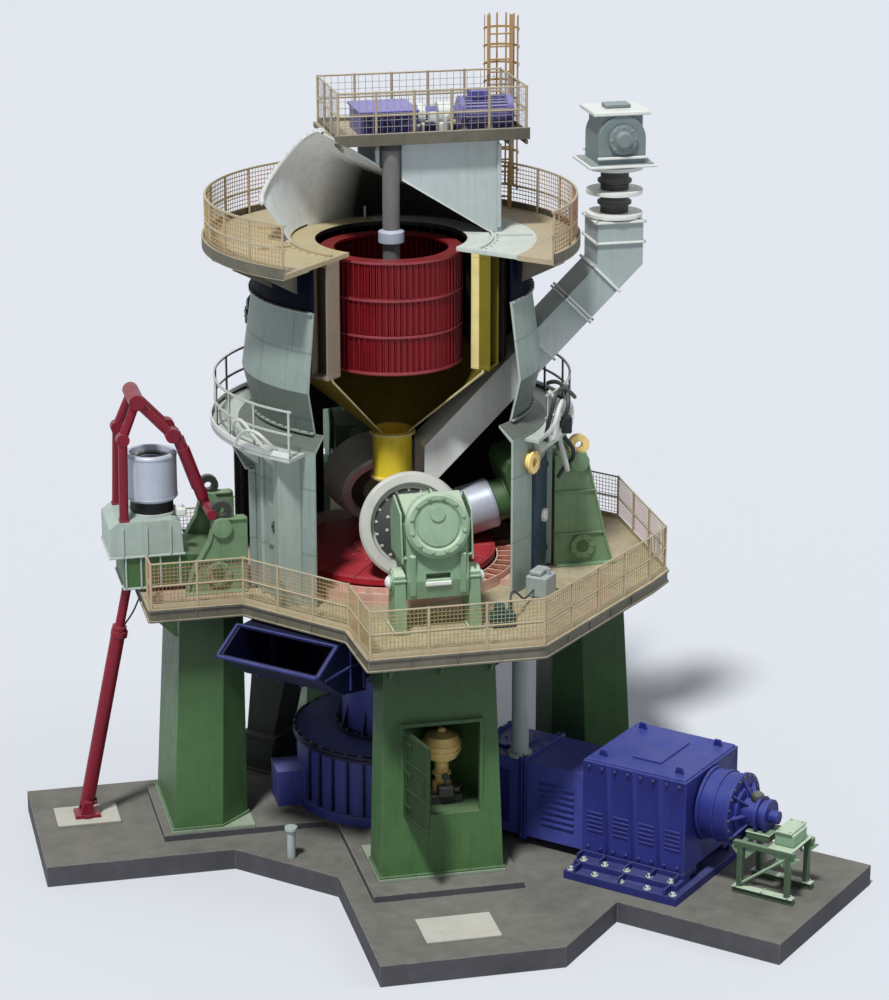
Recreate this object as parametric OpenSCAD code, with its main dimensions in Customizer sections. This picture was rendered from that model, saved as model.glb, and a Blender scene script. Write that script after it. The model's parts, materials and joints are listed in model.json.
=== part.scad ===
// Vertical roller mill with two large grinding rollers, two small support rollers,
// a dynamic classifier on top and a quarter of its housing cut away.
// Heights are measured from the underside of the foundation plinth.

/* [Plinth] */
// Thickness of the main plinth slab
plinth_t = 500; // [300:10:900]
// Half width of the plinth arms
arm_half = 2250; // [2000:10:2300]
// Reach of the left arm, which carries the swing-out cylinder
left_reach = 8700; // [8300:10:9500]
// Reach of the front arm
front_reach = 8900; // [8600:10:9500]
// Reach of the right and back arms
short_reach = 5900; // [5700:10:6500]
// Distance from the centre line at which the diagonal fills meet the arms
fill_reach = 4300; // [4000:10:4500]
// Half width of the arm under the motor
motor_arm_half = 2400; // [2300:10:2600]
// Reach of the arm under the motor
motor_arm_reach = 11550; // [11200:10:12500]
// Height of the raised inner step
step_h = 170; // [100:10:250]

/* [Pedestals] */
// Distance from the mill axis to the foot of the front and back pedestals' outer faces
ped_face = 5150; // [5050:10:5200]
// How much further out the left and right pedestals stand
side_shift = 450; // [300:10:500]
// How far a pedestal's outer face leans in at its top
ped_lean = 300; // [200:10:350]
// Radial depth of a pedestal at its foot
ped_depth = 1850; // [1800:10:1900]
// Radial length of a pedestal's parallel-sided part
ped_straight = 1150; // [900:10:1250]
// Half width of a pedestal at its foot
ped_foot_half = 1430; // [1400:10:1500]
// Half width of a pedestal at its top
ped_top_half = 1270; // [1200:10:1350]
// Half width of a pedestal's inner end
ped_inner_half = 750; // [650:10:850]
// Wall thickness of the hollow front pedestal
ped_wall = 120; // [60:10:200]
// Height of the floor inside the front pedestal
ped_floor = 2100; // [1900:10:2150]
// Left edge of the doorway in the front pedestal
door_left = -840; // [-900:10:-700]
// Right edge of the doorway in the front pedestal
door_right = 890; // [800:10:950]
// Bottom of the doorway
door_low = 2180; // [2170:10:2400]
// Top of the doorway
door_top = 4350; // [4200:10:4600]
// Width of the door leaf
leaf_w = 1190; // [900:10:1500]
// Thickness of the door leaf
leaf_t = 50; // [30:5:80]
// Angle at which the door stands open
door_open = 76; // [30:1:85]

/* [Deck] */
// Height of the underside of the service deck
deck_z = 6200; // [6100:10:6400]
// Thickness of the service deck
deck_t = 300; // [200:10:400]
// Height of every guard railing
rail_h = 1100; // [1000:10:1200]
// Radius of a railing post
post_r = 30; // [24:1:40]
// Radius of a railing bar
rail_r = 22; // [18:1:23]

/* [Grinding] */
// Radius of the grinding table
table_r = 2400; // [2300:10:2450]
// Height of the grinding table above its flange
table_t = 700; // [600:10:750]
// Mean radius of a large roller
tyre_r = 1100; // [1000:10:1150]
// Width of a large roller
tyre_w = 900; // [700:10:1000]
// Slope of a large roller's axis
tilt = 18; // [12:1:20]
// Distance from the mill axis to the middle of a large roller
roller_r = 1750; // [1700:10:1800]
// Gap between a roller and the grinding table
bed_gap = 50; // [30:5:80]
// Radius of a small roller
small_r = 600; // [500:10:620]
// Width of a small roller
small_w = 1100; // [900:10:1150]
// Distance from the mill axis to the pivot of a large roller's arm
pivot_r = 4400; // [4350:10:4450]
// Height of that pivot above the deck
pivot_h = 1100; // [1000:10:1150]
// Distance from the mill axis to the pivot of a small roller's arm
small_pivot_r = 4350; // [4300:10:4400]
// Height of that pivot above the deck
small_pivot_h = 450; // [400:10:500]
// Angle through which a small roller swings out
swing = 105; // [100:1:110]

/* [Housing] */
// Outer radius of the lower mill body
body_r = 3600; // [3550:10:3650]
// How far the body wall reaches past the cutaway's right edge, degrees
body_past_right = 7.5; // [0:1.875:9.375]
// How far the body wall reaches past the cutaway's left edge, degrees
body_past_left = 3.75; // [0:1.875:7.5]
// Height of the lower mill body above the deck
body_h = 3700; // [3600:10:3900]
// Plate thickness of the housing
shell_t = 60; // [40:5:80]
// Angle of the housing that is left standing
left_standing = 270; // [240:5:290]
// Radius of the classifier shell at its foot
shell_foot_r = 3240; // [3200:10:3300]
// Radius of the classifier shell at its belly
shell_belly_r = 3480; // [3400:10:3520]
// Height of the belly above the lower body
belly_h = 1300; // [1100:10:1500]
// Height above the lower body at which the dark upper band begins
band_h = 3100; // [2900:10:3300]
// Height of the classifier cover above the lower body
cover_h = 4100; // [4000:10:4300]

/* [Classifier] */
// Radius of the classifier rotor
rotor_r = 1650; // [1550:10:1750]
// Height of the rotor's foot above the belly
rotor_lift = 50; // [0:10:150]
// Height of the rotor
rotor_h = 2650; // [2500:10:2680]
// Number of rotor blades
rotor_blades = 72; // [48:1:90]
// Number of bands round the rotor between its two end rings
rotor_bands = 2; // [1:1:4]
// Inner radius of the guide vane ring
vane_in = 2150; // [2100:10:2200]
// Outer radius of the guide vane ring
vane_out = 2650; // [2500:10:2700]
// Number of guide vanes
vanes = 28; // [20:1:40]
// Radius of the tailings tube under the cone
tube_r = 460; // [400:10:500]
// Length of the tailings tube
tube_l = 1150; // [1000:10:1300]
// Height of the cone
cone_h = 1750; // [1600:10:1900]
// Radius of the rotor shaft
shaft_r = 200; // [150:5:240]

/* [Top] */
// Outer radius of the upper ring platform
ring_r = 4340; // [4200:10:4400]
// Height of the top platform above the upper ring platform
top_rise = 2200; // [2100:10:2400]
// Left edge of the top platform
top_left = -1350; // [-1500:10:-1200]
// Right edge of the top platform
top_right = 3200; // [3000:10:3300]
// Back edge of the top platform
top_back = 2300; // [2200:10:2500]
// Height of the ladder's upper end above the top platform's underside
ladder_rise = 2450; // [2200:10:2700]

/* [Feed] */
// Distance from the mill axis to the middle of the feeder
feed_x = 5320; // [5250:10:5450]
// Outside width of the feed chute
chute_w = 1100; // [1000:10:1150]
// Outside depth of the sloping chute
chute_d = 800; // [700:10:820]
// Height of the feeder's underside above the classifier cover
feeder_rise = 1600; // [1500:10:1700]

/* [Drive] */
// Distance from the mill axis to the near end of the motor
motor_near = 5950; // [5900:10:6050]
// Length of the motor
motor_l = 2650; // [2500:10:2800]
// Half width of the motor
motor_half = 1300; // [1200:10:1400]
// Top of the motor
motor_top = 3270; // [3100:10:3400]

/* [Hidden] */
$fn = 192;
// Running or seating gap between separate pieces
seat = 0.3;
// Overlap between solids that are joined in one piece
lap = 1;
// Longer than anything in the model
big = 40000;
half_turn = sqrt(0.5);
sector_start = 270 + (360 - left_standing) / 2;

// Foundation
step_z = plinth_t + step_h;
step_reach = 5850;
step_half_front = 1750;
step_half_side = 1500;
motor_arm_near = 7500;
front_arm_right = 1900;
sole_t = 80;
sole_edge = 60;
ped_z = step_z + sole_t;
pad_t = 60;
cyl_foot = [-7450, 400, plinth_t + pad_t];

// Pedestals
door_face = ped_face - ped_lean * (door_low - ped_z) / (deck_z - ped_z);
jamb = 80;
jamb_depth = 250;
door_gap = 20;
hinge_r = 35;
hinge_y = -door_face - hinge_r - seat;
acc = [250, -4000];
acc_base_t = 200;

// Drive
gear_top = 2450;
gear_foot_r = 2450;
gear_r = 2350;
gear_bracket_r = 2950;
drive_near = 2690;
gear_neck_r = 1250;
flange_r = 1900;
drive_half = 860;
drive_low = 750;
drive_top = 2650;
rail_top = 1000;
tail_z = rail_top + 1300;
tail_r = 800;
tail_l = 800;
stub_r = 330;
stub_l = 700;
shaft_end_r = 150;

// Gas path
gas_r = 2800;
gas_low = deck_z - 1700;
duct_neck_half = 1040;
duct_left = -1200;
duct_right = 1450;
duct_wide_r = gas_r + 620;

// Deck
deck_top = deck_z + deck_t;
deck_hole = 2950;
notch_x = body_r + 350;
notch_y = body_r + 700;
deck_edge = [
    [-6100, -2000], [-notch_x, -2000], [-2000, -notch_y], [-1900, -6200], [2100, -6200], [5600, -2700],
    [6200, -2000], [6200, 2000], [5600, 2700], [2100, 6200], [-1900, 6200], [-2000, notch_y],
    [-notch_x, 2000], [-6100, 2000]];
// The railing line stands a little inside the deck's edge
rail_x = notch_x - 30;
rail_y = notch_y - 30;
rail_line = [
    [-6040, -1300], [-6040, -1940], [-rail_x, -1940], [-1940, -rail_y], [-1840, -6140], [2080, -6140],
    [5540, -2680], [6140, -1980], [6140, 1980], [5540, 2680], [2080, 6140], [-1840, 6140],
    [-1940, rail_y], [-rail_x, 1940], [-6040, 1940], [-6040, 1300]];

// Grinding
table_z = deck_z + seat;
table_top = table_z + table_t;
table_flare = 250;
tyre_z = table_top + bed_gap + tyre_r * cos(tilt);
axle_r = 400;
cap_start = 2160;
cap_end = 3120;
cap_r = 720;
arm_half_w = 700;
bearing_y = 850;
bearing_half_t = 130;
pin_r = 180;
pivot_z = deck_top + pivot_h;
small_z = deck_top + small_pivot_h;
small_axle_r = 250;
small_pin_r = 150;
small_arm_drop = 330;
small_arm_top = 420;
park_x = -1360;
park_tyre_z = 2170;
axle_low = 1290;
guard_inner = 900;
guard_t = 200;
guard_top = deck_top + 2750;
guard_left_top = guard_top - 1000;

// Housing
arm_gap = 1000;
body_top = deck_top + body_h;
belly_z = body_top + belly_h;
band_z = body_top + band_h;
cover_z = body_top + cover_h;
walk_z = body_top;
walk_w = 640;
column_near = 0.658 * body_r;
column_far = 0.881 * body_r;
column_y0 = 0.361 * body_r;
column_y1 = 0.681 * body_r;
cone_rise = 300;
band_foot_r = 3230;
cover_in = 1750;
cover_out = band_foot_r + 120;
cover_t = 100;
ring_z = cover_z + cover_t;

// Classifier
rotor_z = belly_z + rotor_lift;
rotor_top = rotor_z + rotor_h;
cone_z = rotor_z - cone_h;
tube_z = cone_z - tube_l;

// Top
hood_foot_r = 2350;
top_z = ring_z + top_rise;
ladder_top = top_z + ladder_rise;
hood_open = [-2280, 0, top_z - 450];
hood_open_r = 1050;
hood_face = 48;
support_left = -350;
support_front = 20;
support_right = 2560;
support_back = 2100;
top_front = -300;
top_t = 120;
shaft_hole_r = shaft_r + 60;
bearing_r = shaft_r + 35;
shaft_top = 50;
deck_two = top_z + top_t;
ladder_x = 2880;
ladder_w = 540;

// Finishes that several pieces share
CONCRETE = [0.36, 0.36, 0.34];
GREEN = [0.29, 0.42, 0.27];
PALE_GREEN = [0.5, 0.64, 0.5];
NAVY = [0.08, 0.09, 0.26];
BLUE = [0.16, 0.18, 0.54];
TAN = [0.68, 0.6, 0.46];
GREY = [0.62, 0.68, 0.66];
WHITE = [0.82, 0.83, 0.82];
CRIMSON = [0.45, 0.06, 0.13];

// Feed
feeder_z = cover_z + feeder_rise;
chute_bend_z = feeder_z - 2300;
chute_in_x = 650;
chute_t = 40;
neck_z = feeder_z - 1250;

// ---------- helpers ----------

// A profile drawn as radius and height, turned through the standing part of the housing
module standing_turn() {
    rotate([0, 0, sector_start])
        rotate_extrude(angle = left_standing) children();
}

// A profile drawn as radius and height, turned all the way round
module full_turn() {
    rotate_extrude() children();
}

// A block given by its lowest and highest corners
module block(low, high) {
    translate(low) cube(high - low);
}

// An outline in radius and height, extruded along Y from y0 to y1
module upright(points, y0, y1) {
    translate([0, y1, 0]) rotate([90, 0, 0])
        linear_extrude(y1 - y0) polygon(points);
}

// A round bar between two points
module bar(a, b, r, sides = 8) {
    d = b - a;
    len = norm(d);
    translate(a)
        rotate([0, acos(d[2] / len), atan2(d[1], d[0])])
            cylinder(h = len, r = r, $fn = sides);
}

// The rails and posts of a guard railing along a line of points
module railing(path, z, spacing = 1500) {
    heights = [rail_h / 2, rail_h - rail_r];
    for (i = [0 : len(path) - 2]) {
        a = path[i];
        b = path[i + 1];
        for (h = heights)
            bar([a[0], a[1], z + h], [b[0], b[1], z + h], rail_r);
        bays = max(1, ceil(norm(b - a) / spacing));
        for (k = [0 : bays]) {
            p = a + (b - a) * k / bays;
            translate([p[0], p[1], z]) cylinder(h = rail_h + 5, r = post_r, $fn = 8);
        }
    }
}

// The rails and posts of a guard railing round the standing part of the housing
module ring_railing(r, z, posts) {
    for (h = [rail_h / 2, rail_h - rail_r])
        standing_turn()
            translate([r - rail_r, z + h - rail_r]) square(2 * rail_r);
    for (k = [0 : posts])
        rotate([0, 0, sector_start + 1 + (left_standing - 2) * k / posts])
            translate([r, 0, z]) cylinder(h = rail_h + 5, r = post_r, $fn = 8);
}

// Turns a piece drawn along +X to point at the given azimuth
module toward(a) {
    rotate([0, 0, a]) children();
}

// ---------- foundation ----------

module plinth_outline() {
    s = half_turn;
    polygon([
        [-left_reach, arm_half], [-left_reach, -arm_half], [-fill_reach, -arm_half],
        [-arm_half, -fill_reach], [-arm_half, -front_reach], [front_arm_right, -front_reach],
        [s * (motor_arm_near - motor_arm_half), -s * (motor_arm_near + motor_arm_half)],
        [s * (motor_arm_reach - motor_arm_half), -s * (motor_arm_reach + motor_arm_half)],
        [s * (motor_arm_reach + motor_arm_half), -s * (motor_arm_reach - motor_arm_half)],
        [motor_arm_half / s + arm_half, -arm_half],
        [short_reach, -arm_half], [short_reach, arm_half], [fill_reach, arm_half],
        [arm_half, fill_reach], [arm_half, short_reach], [-arm_half, short_reach],
        [-arm_half, fill_reach], [-fill_reach, arm_half]
    ]);
}

module foundation_plinth() {
    color(CONCRETE) {
        linear_extrude(plinth_t) plinth_outline();
        translate([0, 0, plinth_t - lap]) linear_extrude(step_h + lap) {
            square([2 * step_half_front, 2 * step_reach], center = true);
            square([2 * step_reach, 2 * step_half_side], center = true);
            circle(gear_foot_r);
        }
    }
}

module sole_plates() {
    half = ped_foot_half + sole_edge;
    color(PALE_GREEN)
        for (a = [0 : 90 : 270]) toward(a)
            block([face_at(a) - ped_depth - sole_edge, -half, step_z], [face_at(a) + sole_edge, half, ped_z]);
}

module cylinder_pads() {
    pad_z = plinth_t + pad_t;
    color([0.72, 0.72, 0.66]) {
        block([-8200, -150, plinth_t], [-6700, 950, pad_z]);
        block([-1050, -8150, plinth_t], [650, -6950, pad_z]);
    }
}

// ---------- pedestals ----------

// Where the outer face of the pedestal at an azimuth stands
function face_at(a) = a % 180 == 0 ? ped_face + side_shift : ped_face;

// A pedestal drawn along +X, every wall moved inwards by the inset
module pedestal_form(face, inset = 0) {
    low = ped_z + inset;
    high = deck_z - inset;
    outer = face - inset;
    inner = face - ped_depth + inset;
    bend = face - ped_straight;
    wide = ped_foot_half - inset;
    top = ped_top_half - inset;
    narrow = ped_inner_half - inset;
    intersection() {
        upright([[inner, low], [outer, low], [outer - ped_lean, high], [inner, high]], -wide, wide);
        translate([inner, 0, 0]) rotate([90, 0, 90]) linear_extrude(outer - inner)
            polygon([[-wide, low], [wide, low], [top, high], [-top, high]]);
        translate([0, 0, low]) linear_extrude(high - low)
            polygon([[inner, -narrow], [bend, -wide], [outer, -wide], [outer, wide], [bend, wide],
                     [inner, narrow]]);
    }
}

module pedestal_at(a) {
    color(GREEN) toward(a) pedestal_form(face_at(a));
}

module pedestal_left() {
    pedestal_at(180);
}

module pedestal_right() {
    pedestal_at(0);
}

module pedestal_back() {
    pedestal_at(90);
}

module pedestal_front() {
    color(GREEN)
        difference() {
            union() {
                pedestal_at(270);
                block([door_left - jamb, -door_face, door_low - jamb],
                      [door_right + jamb, -door_face + jamb_depth, door_top + jamb]);
            }
            intersection() {
                toward(270) pedestal_form(face_at(270), ped_wall);
                block([-big, -big, ped_floor], [big, big, big]);
            }
            block([door_left, -door_face - lap, door_low], [door_right, -door_face + 2 * jamb_depth, door_top]);
        }
}

module pedestal_door() {
    low = door_low + door_gap;
    high = door_top - door_gap;
    color(GREEN)
        translate([door_left, hinge_y, 0]) rotate([0, 0, -door_open]) {
            block([hinge_r / 2, -leaf_t / 2, low], [leaf_w, leaf_t / 2, high]);
            translate([0, 0, low]) cylinder(h = high - low, r = hinge_r, $fn = 32);
        }
}

module accumulator_base() {
    color([0.12, 0.13, 0.13])
        translate([acc[0], acc[1], ped_floor]) block([-400, -350, seat], [400, 350, acc_base_t]);
}

module spring_accumulator() {
    color([0.78, 0.66, 0.34])
        translate([acc[0], acc[1], ped_floor + acc_base_t + seat]) full_turn()
            polygon([[0, 0], [230, 0], [230, 220], [160, 260], [160, 720], [360, 850], [435, 1000],
                     [435, 1230], [360, 1390], [120, 1470], [0, 1470]]);
}

// ---------- drive ----------

module gearbox() {
    foot_t = 250;
    flange_t = 350;
    color([0.1, 0.11, 0.33]) {
        translate([0, 0, step_z]) cylinder(h = foot_t, r = gear_foot_r);
        translate([0, 0, step_z]) cylinder(h = gear_top - step_z, r = gear_r);
        for (a = [0 : 90 : 270]) toward(a) block([0, -450, step_z], [gear_bracket_r, 450, step_z + 900]);
        toward(-45) block([0, -drive_half, step_z + foot_t - lap], [drive_near, drive_half, gear_top - 150]);
        translate([0, 0, gear_top - lap]) cylinder(h = deck_z - gear_top + lap, r = gear_neck_r);
        translate([0, 0, deck_z - flange_t]) cylinder(h = flange_t, r = flange_r);
    }
}

module drive_housing() {
    color([0.14, 0.16, 0.5]) toward(-45)
        block([drive_near + seat, -drive_half, drive_low], [motor_near - seat, drive_half, drive_top]);
}

module motor_body() {
    color(BLUE) toward(-45)
        block([motor_near, -motor_half, rail_top], [motor_near + motor_l, motor_half, motor_top]);
}

module motor_rails() {
    out = motor_half + 650;
    plate_z = plinth_t + 200;
    sill_z = plinth_t + 360;
    half = 320;
    far = motor_near + motor_l;
    color([0.1, 0.12, 0.42]) toward(-45) {
        block([motor_near - 100, -out, plinth_t], [far + 150, out, plate_z]);
        for (s = [-1, 1]) {
            wide_y = s * (motor_half + 30);
            rail_y = s * (motor_half - 300);
            block([motor_near, wide_y - half, plate_z - lap], [far, wide_y + half, sill_z]);
            block([motor_near, rail_y - half, sill_z - lap], [far, rail_y + half, rail_top]);
        }
    }
}

module motor_tail() {
    color(BLUE) toward(-45)
        translate([motor_near + motor_l, 0, tail_z]) rotate([0, 90, 0]) {
            cylinder(h = tail_l, r = tail_r);
            translate([0, 0, tail_l - lap]) cylinder(h = stub_l + lap, r = stub_r);
            translate([0, 0, tail_l + stub_l - lap]) cylinder(h = 200, r = shaft_end_r);
        }
}

module barring_stand() {
    near = motor_near + motor_l + tail_l + 50;
    far = near + 1500;
    side = 500;
    leg = 120;
    beam_z = tail_z - 650;
    color(PALE_GREEN) toward(-45) {
        for (s = [-1, 1])
            translate([0, s * side, 0]) {
                block([near, -leg / 2, plinth_t], [far, leg / 2, plinth_t + 150]);
                for (x = [near + 100, far - 100 - leg])
                    block([x, -leg / 2, plinth_t + 150 - lap], [x + leg, leg / 2, beam_z]);
                block([near, -leg / 2, beam_z - lap], [far, leg / 2, beam_z + leg]);
            }
        for (x = [near + 150, far - 150 - leg])
            block([x, -side, beam_z + 20], [x + leg, side, beam_z + leg - lap]);
        block([near + 200, -320, beam_z + leg - 2 * lap], [near + 760, 320, tail_z - stub_r - seat]);
    }
}

// ---------- gas path ----------

module gas_ring() {
    bore = gear_neck_r + 50;
    color([0.07, 0.07, 0.2])
        full_turn()
            difference() {
                polygon([[bore, gas_low], [gas_r, gas_low], [gas_r, deck_z - seat], [bore, deck_z - seat]]);
                polygon([[bore - lap, gas_low + shell_t], [gas_r - shell_t, gas_low + shell_t],
                         [gas_r - shell_t, deck_z], [bore - lap, deck_z]]);
            }
}

// The duct narrows where it passes between two pedestals
module hot_gas_duct() {
    low = deck_z - 1500;
    high = deck_z - 80;
    mouth = duct_wide_r + 980;
    lip = [mouth + 1000, deck_z - 550];
    t = shell_t;
    color(NAVY) toward(225)
        difference() {
            union() {
                block([gas_r - 300, -duct_neck_half, low], [duct_wide_r + lap, duct_neck_half, high]);
                upright([[duct_wide_r, low], [mouth, low + 200], lip, [mouth + 250, high],
                         [duct_wide_r, high]], duct_left, duct_right);
            }
            block([gas_r - 400, -duct_neck_half + t, low + t],
                  [duct_wide_r + 2 * t, duct_neck_half - t, high - t]);
            upright([[duct_wide_r + t, low + t], [mouth - 10, low + 270], lip + [80, 120],
                     [mouth + 360, high + 90], [mouth + 200, high - t], [duct_wide_r + t, high - t]],
                    duct_left + t, duct_right - t);
            gas_ring_space();
        }
}

// The room that the gas ring takes, for the ducts that butt against it
module gas_ring_space() {
    translate([0, 0, gas_low - 500]) cylinder(h = 3000, r = gas_r + seat);
}

module reject_chute() {
    bin_top = 1500;
    bin_near = gas_r + 350;
    bin_far = gas_r + 1280;
    inner = gas_r - 300;
    color([0.3, 0.31, 0.3]) toward(135)
        difference() {
            union() {
                upright([[inner, deck_z - 600], [inner, deck_z - 1500], [bin_near + 100, bin_top],
                         [bin_far - 30, bin_top], [gas_r + 800, deck_z - 600]], -450, 450);
                block([bin_near, -550, plinth_t], [bin_far, 550, bin_top + lap]);
            }
            gas_ring_space();
        }
}

// ---------- deck ----------

module service_deck() {
    color([0.68, 0.62, 0.5])
        difference() {
            translate([0, 0, deck_z]) linear_extrude(deck_t) polygon(deck_edge);
            translate([0, 0, deck_z - lap]) cylinder(h = deck_t + 2 * lap, r = deck_hole);
        }
}

module deck_railing() {
    color(TAN) railing(rail_line, deck_top);
}

// ---------- grinding ----------

module grinding_table() {
    color([0.52, 0.08, 0.1])
        translate([0, 0, table_z]) full_turn()
            polygon([[0, 0], [table_r - 300, 0], [table_r, table_flare], [table_r, table_t],
                     [950, table_t], [850, table_t + 60], [0, table_t + 60]]);
}

module nozzle_ring() {
    ring_in = table_r + 60;
    ring_top = deck_top + 120;
    color([0.7, 0.52, 0.45]) {
        full_turn()
            polygon([[ring_in, deck_top - 250], [deck_hole - seat, deck_top - 250], [deck_hole - seat, deck_top + 60],
                     [ring_in, ring_top]]);
        standing_turn()
            polygon([[deck_hole + 10, deck_top + seat], [body_r - shell_t - seat, deck_top + seat],
                     [body_r - shell_t - seat, ring_top + 150], [deck_hole + 10, ring_top]]);
    }
}

// A large roller's place: its own frame has the axis along +X, pointing outwards and up
module large_frame(a) {
    toward(a) translate([roller_r, 0, tyre_z]) rotate([0, -tilt, 0]) children();
}

module large_tyre() {
    half = tyre_w / 2;
    flare = half * tan(tilt);
    hub = axle_r + seat;
    rotate([0, 90, 0]) full_turn()
        polygon([[hub, -half + 150], [tyre_r - flare - 260, -half + 150], [tyre_r - flare - 220, -half],
                 [tyre_r - flare - 60, -half], [tyre_r - flare, -half + 60],
                 [tyre_r + flare, half - 60], [tyre_r + flare - 60, half], [tyre_r + flare - 260, half],
                 [tyre_r + flare - 330, half - 250], [hub, half - 250]]);
}

module large_arm_body() {
    drop = tyre_z - pivot_z;
    out = pivot_r - roller_r;
    difference() {
        upright([[1650, 120], [2000, -500], [out - 330, -drop - 330], [out + 330, -drop - 330],
                 [out + 400, -drop + 100], [out + 120, 1200], [2050, 1450], [1650, 950]],
                -arm_half_w, arm_half_w);
        block([out, -280, -drop + 120], [out + 900, 280, -drop + 260]);
    }
}

module rocker_arm(a) {
    drop = tyre_z - pivot_z;
    out = pivot_r - roller_r;
    half = tyre_w / 2;
    pin_l = 2 * (bearing_y + bearing_half_t + 60);
    color(PALE_GREEN) {
        large_frame(a) rotate([0, 90, 0]) {
            translate([0, 0, -half + 100]) cylinder(h = cap_start + half, r = axle_r);
            translate([0, 0, cap_start - lap]) cylinder(h = cap_end - cap_start + lap, r = cap_r);
            translate([-250, 0, cap_end - lap]) cylinder(h = 90, r = 170);
        }
        toward(a) translate([roller_r, 0, tyre_z]) {
            large_arm_body();
            translate([out, 0, -drop]) rotate([90, 0, 0]) cylinder(h = pin_l, r = pin_r, center = true);
        }
    }
}

module arm_bearings(a) {
    color(PALE_GREEN) toward(a)
        difference() {
            for (s = [-1, 1])
                translate([pivot_r, s * bearing_y, 0])
                    upright([[-420, deck_top], [420, deck_top], [260, pivot_z + 200], [120, pivot_z + 300],
                             [-120, pivot_z + 300], [-260, pivot_z + 200]], -bearing_half_t, bearing_half_t);
            translate([pivot_r, 0, pivot_z]) rotate([90, 0, 0])
                cylinder(h = 2400, r = pin_r + seat, center = true);
        }
}

// ---------- small rollers ----------

// Drawn swung out, with the roller's axis upright and the pivot at the origin
module small_frame(a, turned) {
    toward(a) translate([small_pivot_r, 0, small_z])
        rotate([0, -turned, 0]) mirror([1, 0, 0]) children();
}

module small_tyre() {
    half = small_w / 2;
    hub = small_axle_r + seat;
    translate([park_x, 0, park_tyre_z]) full_turn()
        polygon([[hub, -half], [small_r - 30, -half], [small_r, -half + 30], [small_r, half - 30],
                 [small_r - 30, half], [small_r - 110, half], [small_r - 140, half - 150], [hub, half - 150]]);
}

module small_arm() {
    half = small_w / 2;
    drop = small_arm_drop;
    top = small_arm_top;
    color(GREEN) {
        upright([[-2150, -drop], [150, -drop], [drop, -100], [drop, 200], [150, drop], [-700, top],
                 [-2150, top]], -750, 750);
        rotate([90, 0, 0]) cylinder(h = 2 * (guard_inner + guard_t + 50), r = small_pin_r, center = true);
    }
    color([0.6, 0.66, 0.62])
        upright([[-2450, top - lap], [-750, top - lap], [-800, axle_low - 120], [-1000, axle_low],
                 [-2250, axle_low], [-2450, axle_low - 150]], -800, 800);
    color([0.1, 0.1, 0.11])
        translate([park_x, 0, axle_low - lap]) {
            cylinder(h = park_tyre_z - half - axle_low - 20, r = 500);
            cylinder(h = park_tyre_z + half - 200 - axle_low, r = small_axle_r);
        }
}

module guard_plates(a, top) {
    root = body_r + 60;
    edge = small_pivot_r + 50;
    color(GREEN) toward(a)
        difference() {
            for (s = [-1, 1])
                translate([0, s * (guard_inner + guard_t / 2), 0]) {
                    upright([[root, deck_top], [edge + 700, deck_top], [edge + 550, deck_top + 500],
                             [edge + 150, top - 550], [edge, top], [root, top]],
                            -guard_t / 2, guard_t / 2);
                    translate([edge - 150, 0, top - 200]) rotate([90, 0, 0])
                        cylinder(h = guard_t + 160, r = 230, center = true, $fn = 48);
                }
            translate([small_pivot_r, 0, small_z]) rotate([90, 0, 0])
                cylinder(h = 3000, r = small_pin_r + seat, center = true);
        }
}

// ---------- swing-out gear ----------

module swing_cylinder() {
    top = [-6320, 0, small_z - small_arm_drop - 45];
    low = cyl_foot + [0, 0, 260];
    base_z = cyl_foot[2] + 80;
    color(CRIMSON) {
        bar(low, low + (top - low) * 0.8, 170, 32);
        bar(low, top, 110, 32);
        block(cyl_foot - [300, 250, 0], [cyl_foot[0] + 300, cyl_foot[1] + 250, base_z]);
        for (s = [-1, 1])
            translate([cyl_foot[0], cyl_foot[1] + s * 200, 0])
                upright([[-180, base_z - lap], [180, base_z - lap], [90, base_z + 320], [-90, base_z + 320]],
                        -40, 40);
        translate(low) rotate([90, 0, 0]) cylinder(h = 480, r = 100, center = true, $fn = 32);
    }
}

module lifting_frame() {
    arm_top_z = small_z + axle_low;
    shoe = [115, 115, 40];
    head_z = guard_top + 70;
    line = [[-6450, arm_top_z + 25], [-6400, head_z + 830], [-6050, head_z + 1680], [-5450, head_z + 1030],
            [-5050, head_z + 630], [-4480, guard_left_top + 70]];
    spread = [680, 525, 420, 420, 420, 420];
    color(CRIMSON) {
        for (s = [-1, 1]) {
            translate([line[0][0], s * spread[0], arm_top_z]) block([-shoe[0], -shoe[1], seat], shoe);
            for (i = [0 : len(line) - 2])
                bar([line[i][0], s * spread[i], line[i][1]],
                    [line[i + 1][0], s * spread[i + 1], line[i + 1][1]], 110);
        }
        translate([line[2][0], 0, line[2][1]]) rotate([90, 0, 0])
            cylinder(h = 1100, r = 150, center = true, $fn = 32);
        translate([line[5][0], 0, line[5][1] + 60]) rotate([90, 0, 0])
            cylinder(h = 2 * (guard_inner + guard_t) + 50, r = 120, center = true, $fn = 32);
    }
}

// ---------- housing ----------

module arm_window(a) {
    toward(a) block([2000, -arm_gap, deck_top + 60], [5000, arm_gap, deck_top + 2900]);
}

module mill_body() {
    t = shell_t;
    cone_top = body_top + cone_rise;
    color(GREY)
        difference() {
            rotate([0, 0, sector_start - body_past_right])
                rotate_extrude(angle = left_standing + body_past_right + body_past_left)
                    polygon([[body_r - t, deck_top + seat], [body_r, deck_top + seat], [body_r, body_top],
                             [shell_foot_r - t, cone_top], [shell_foot_r - t, cone_top - t],
                             [body_r - t, body_top - t]]);
            for (a = [0, 90, 180]) arm_window(a);
        }
}

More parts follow.
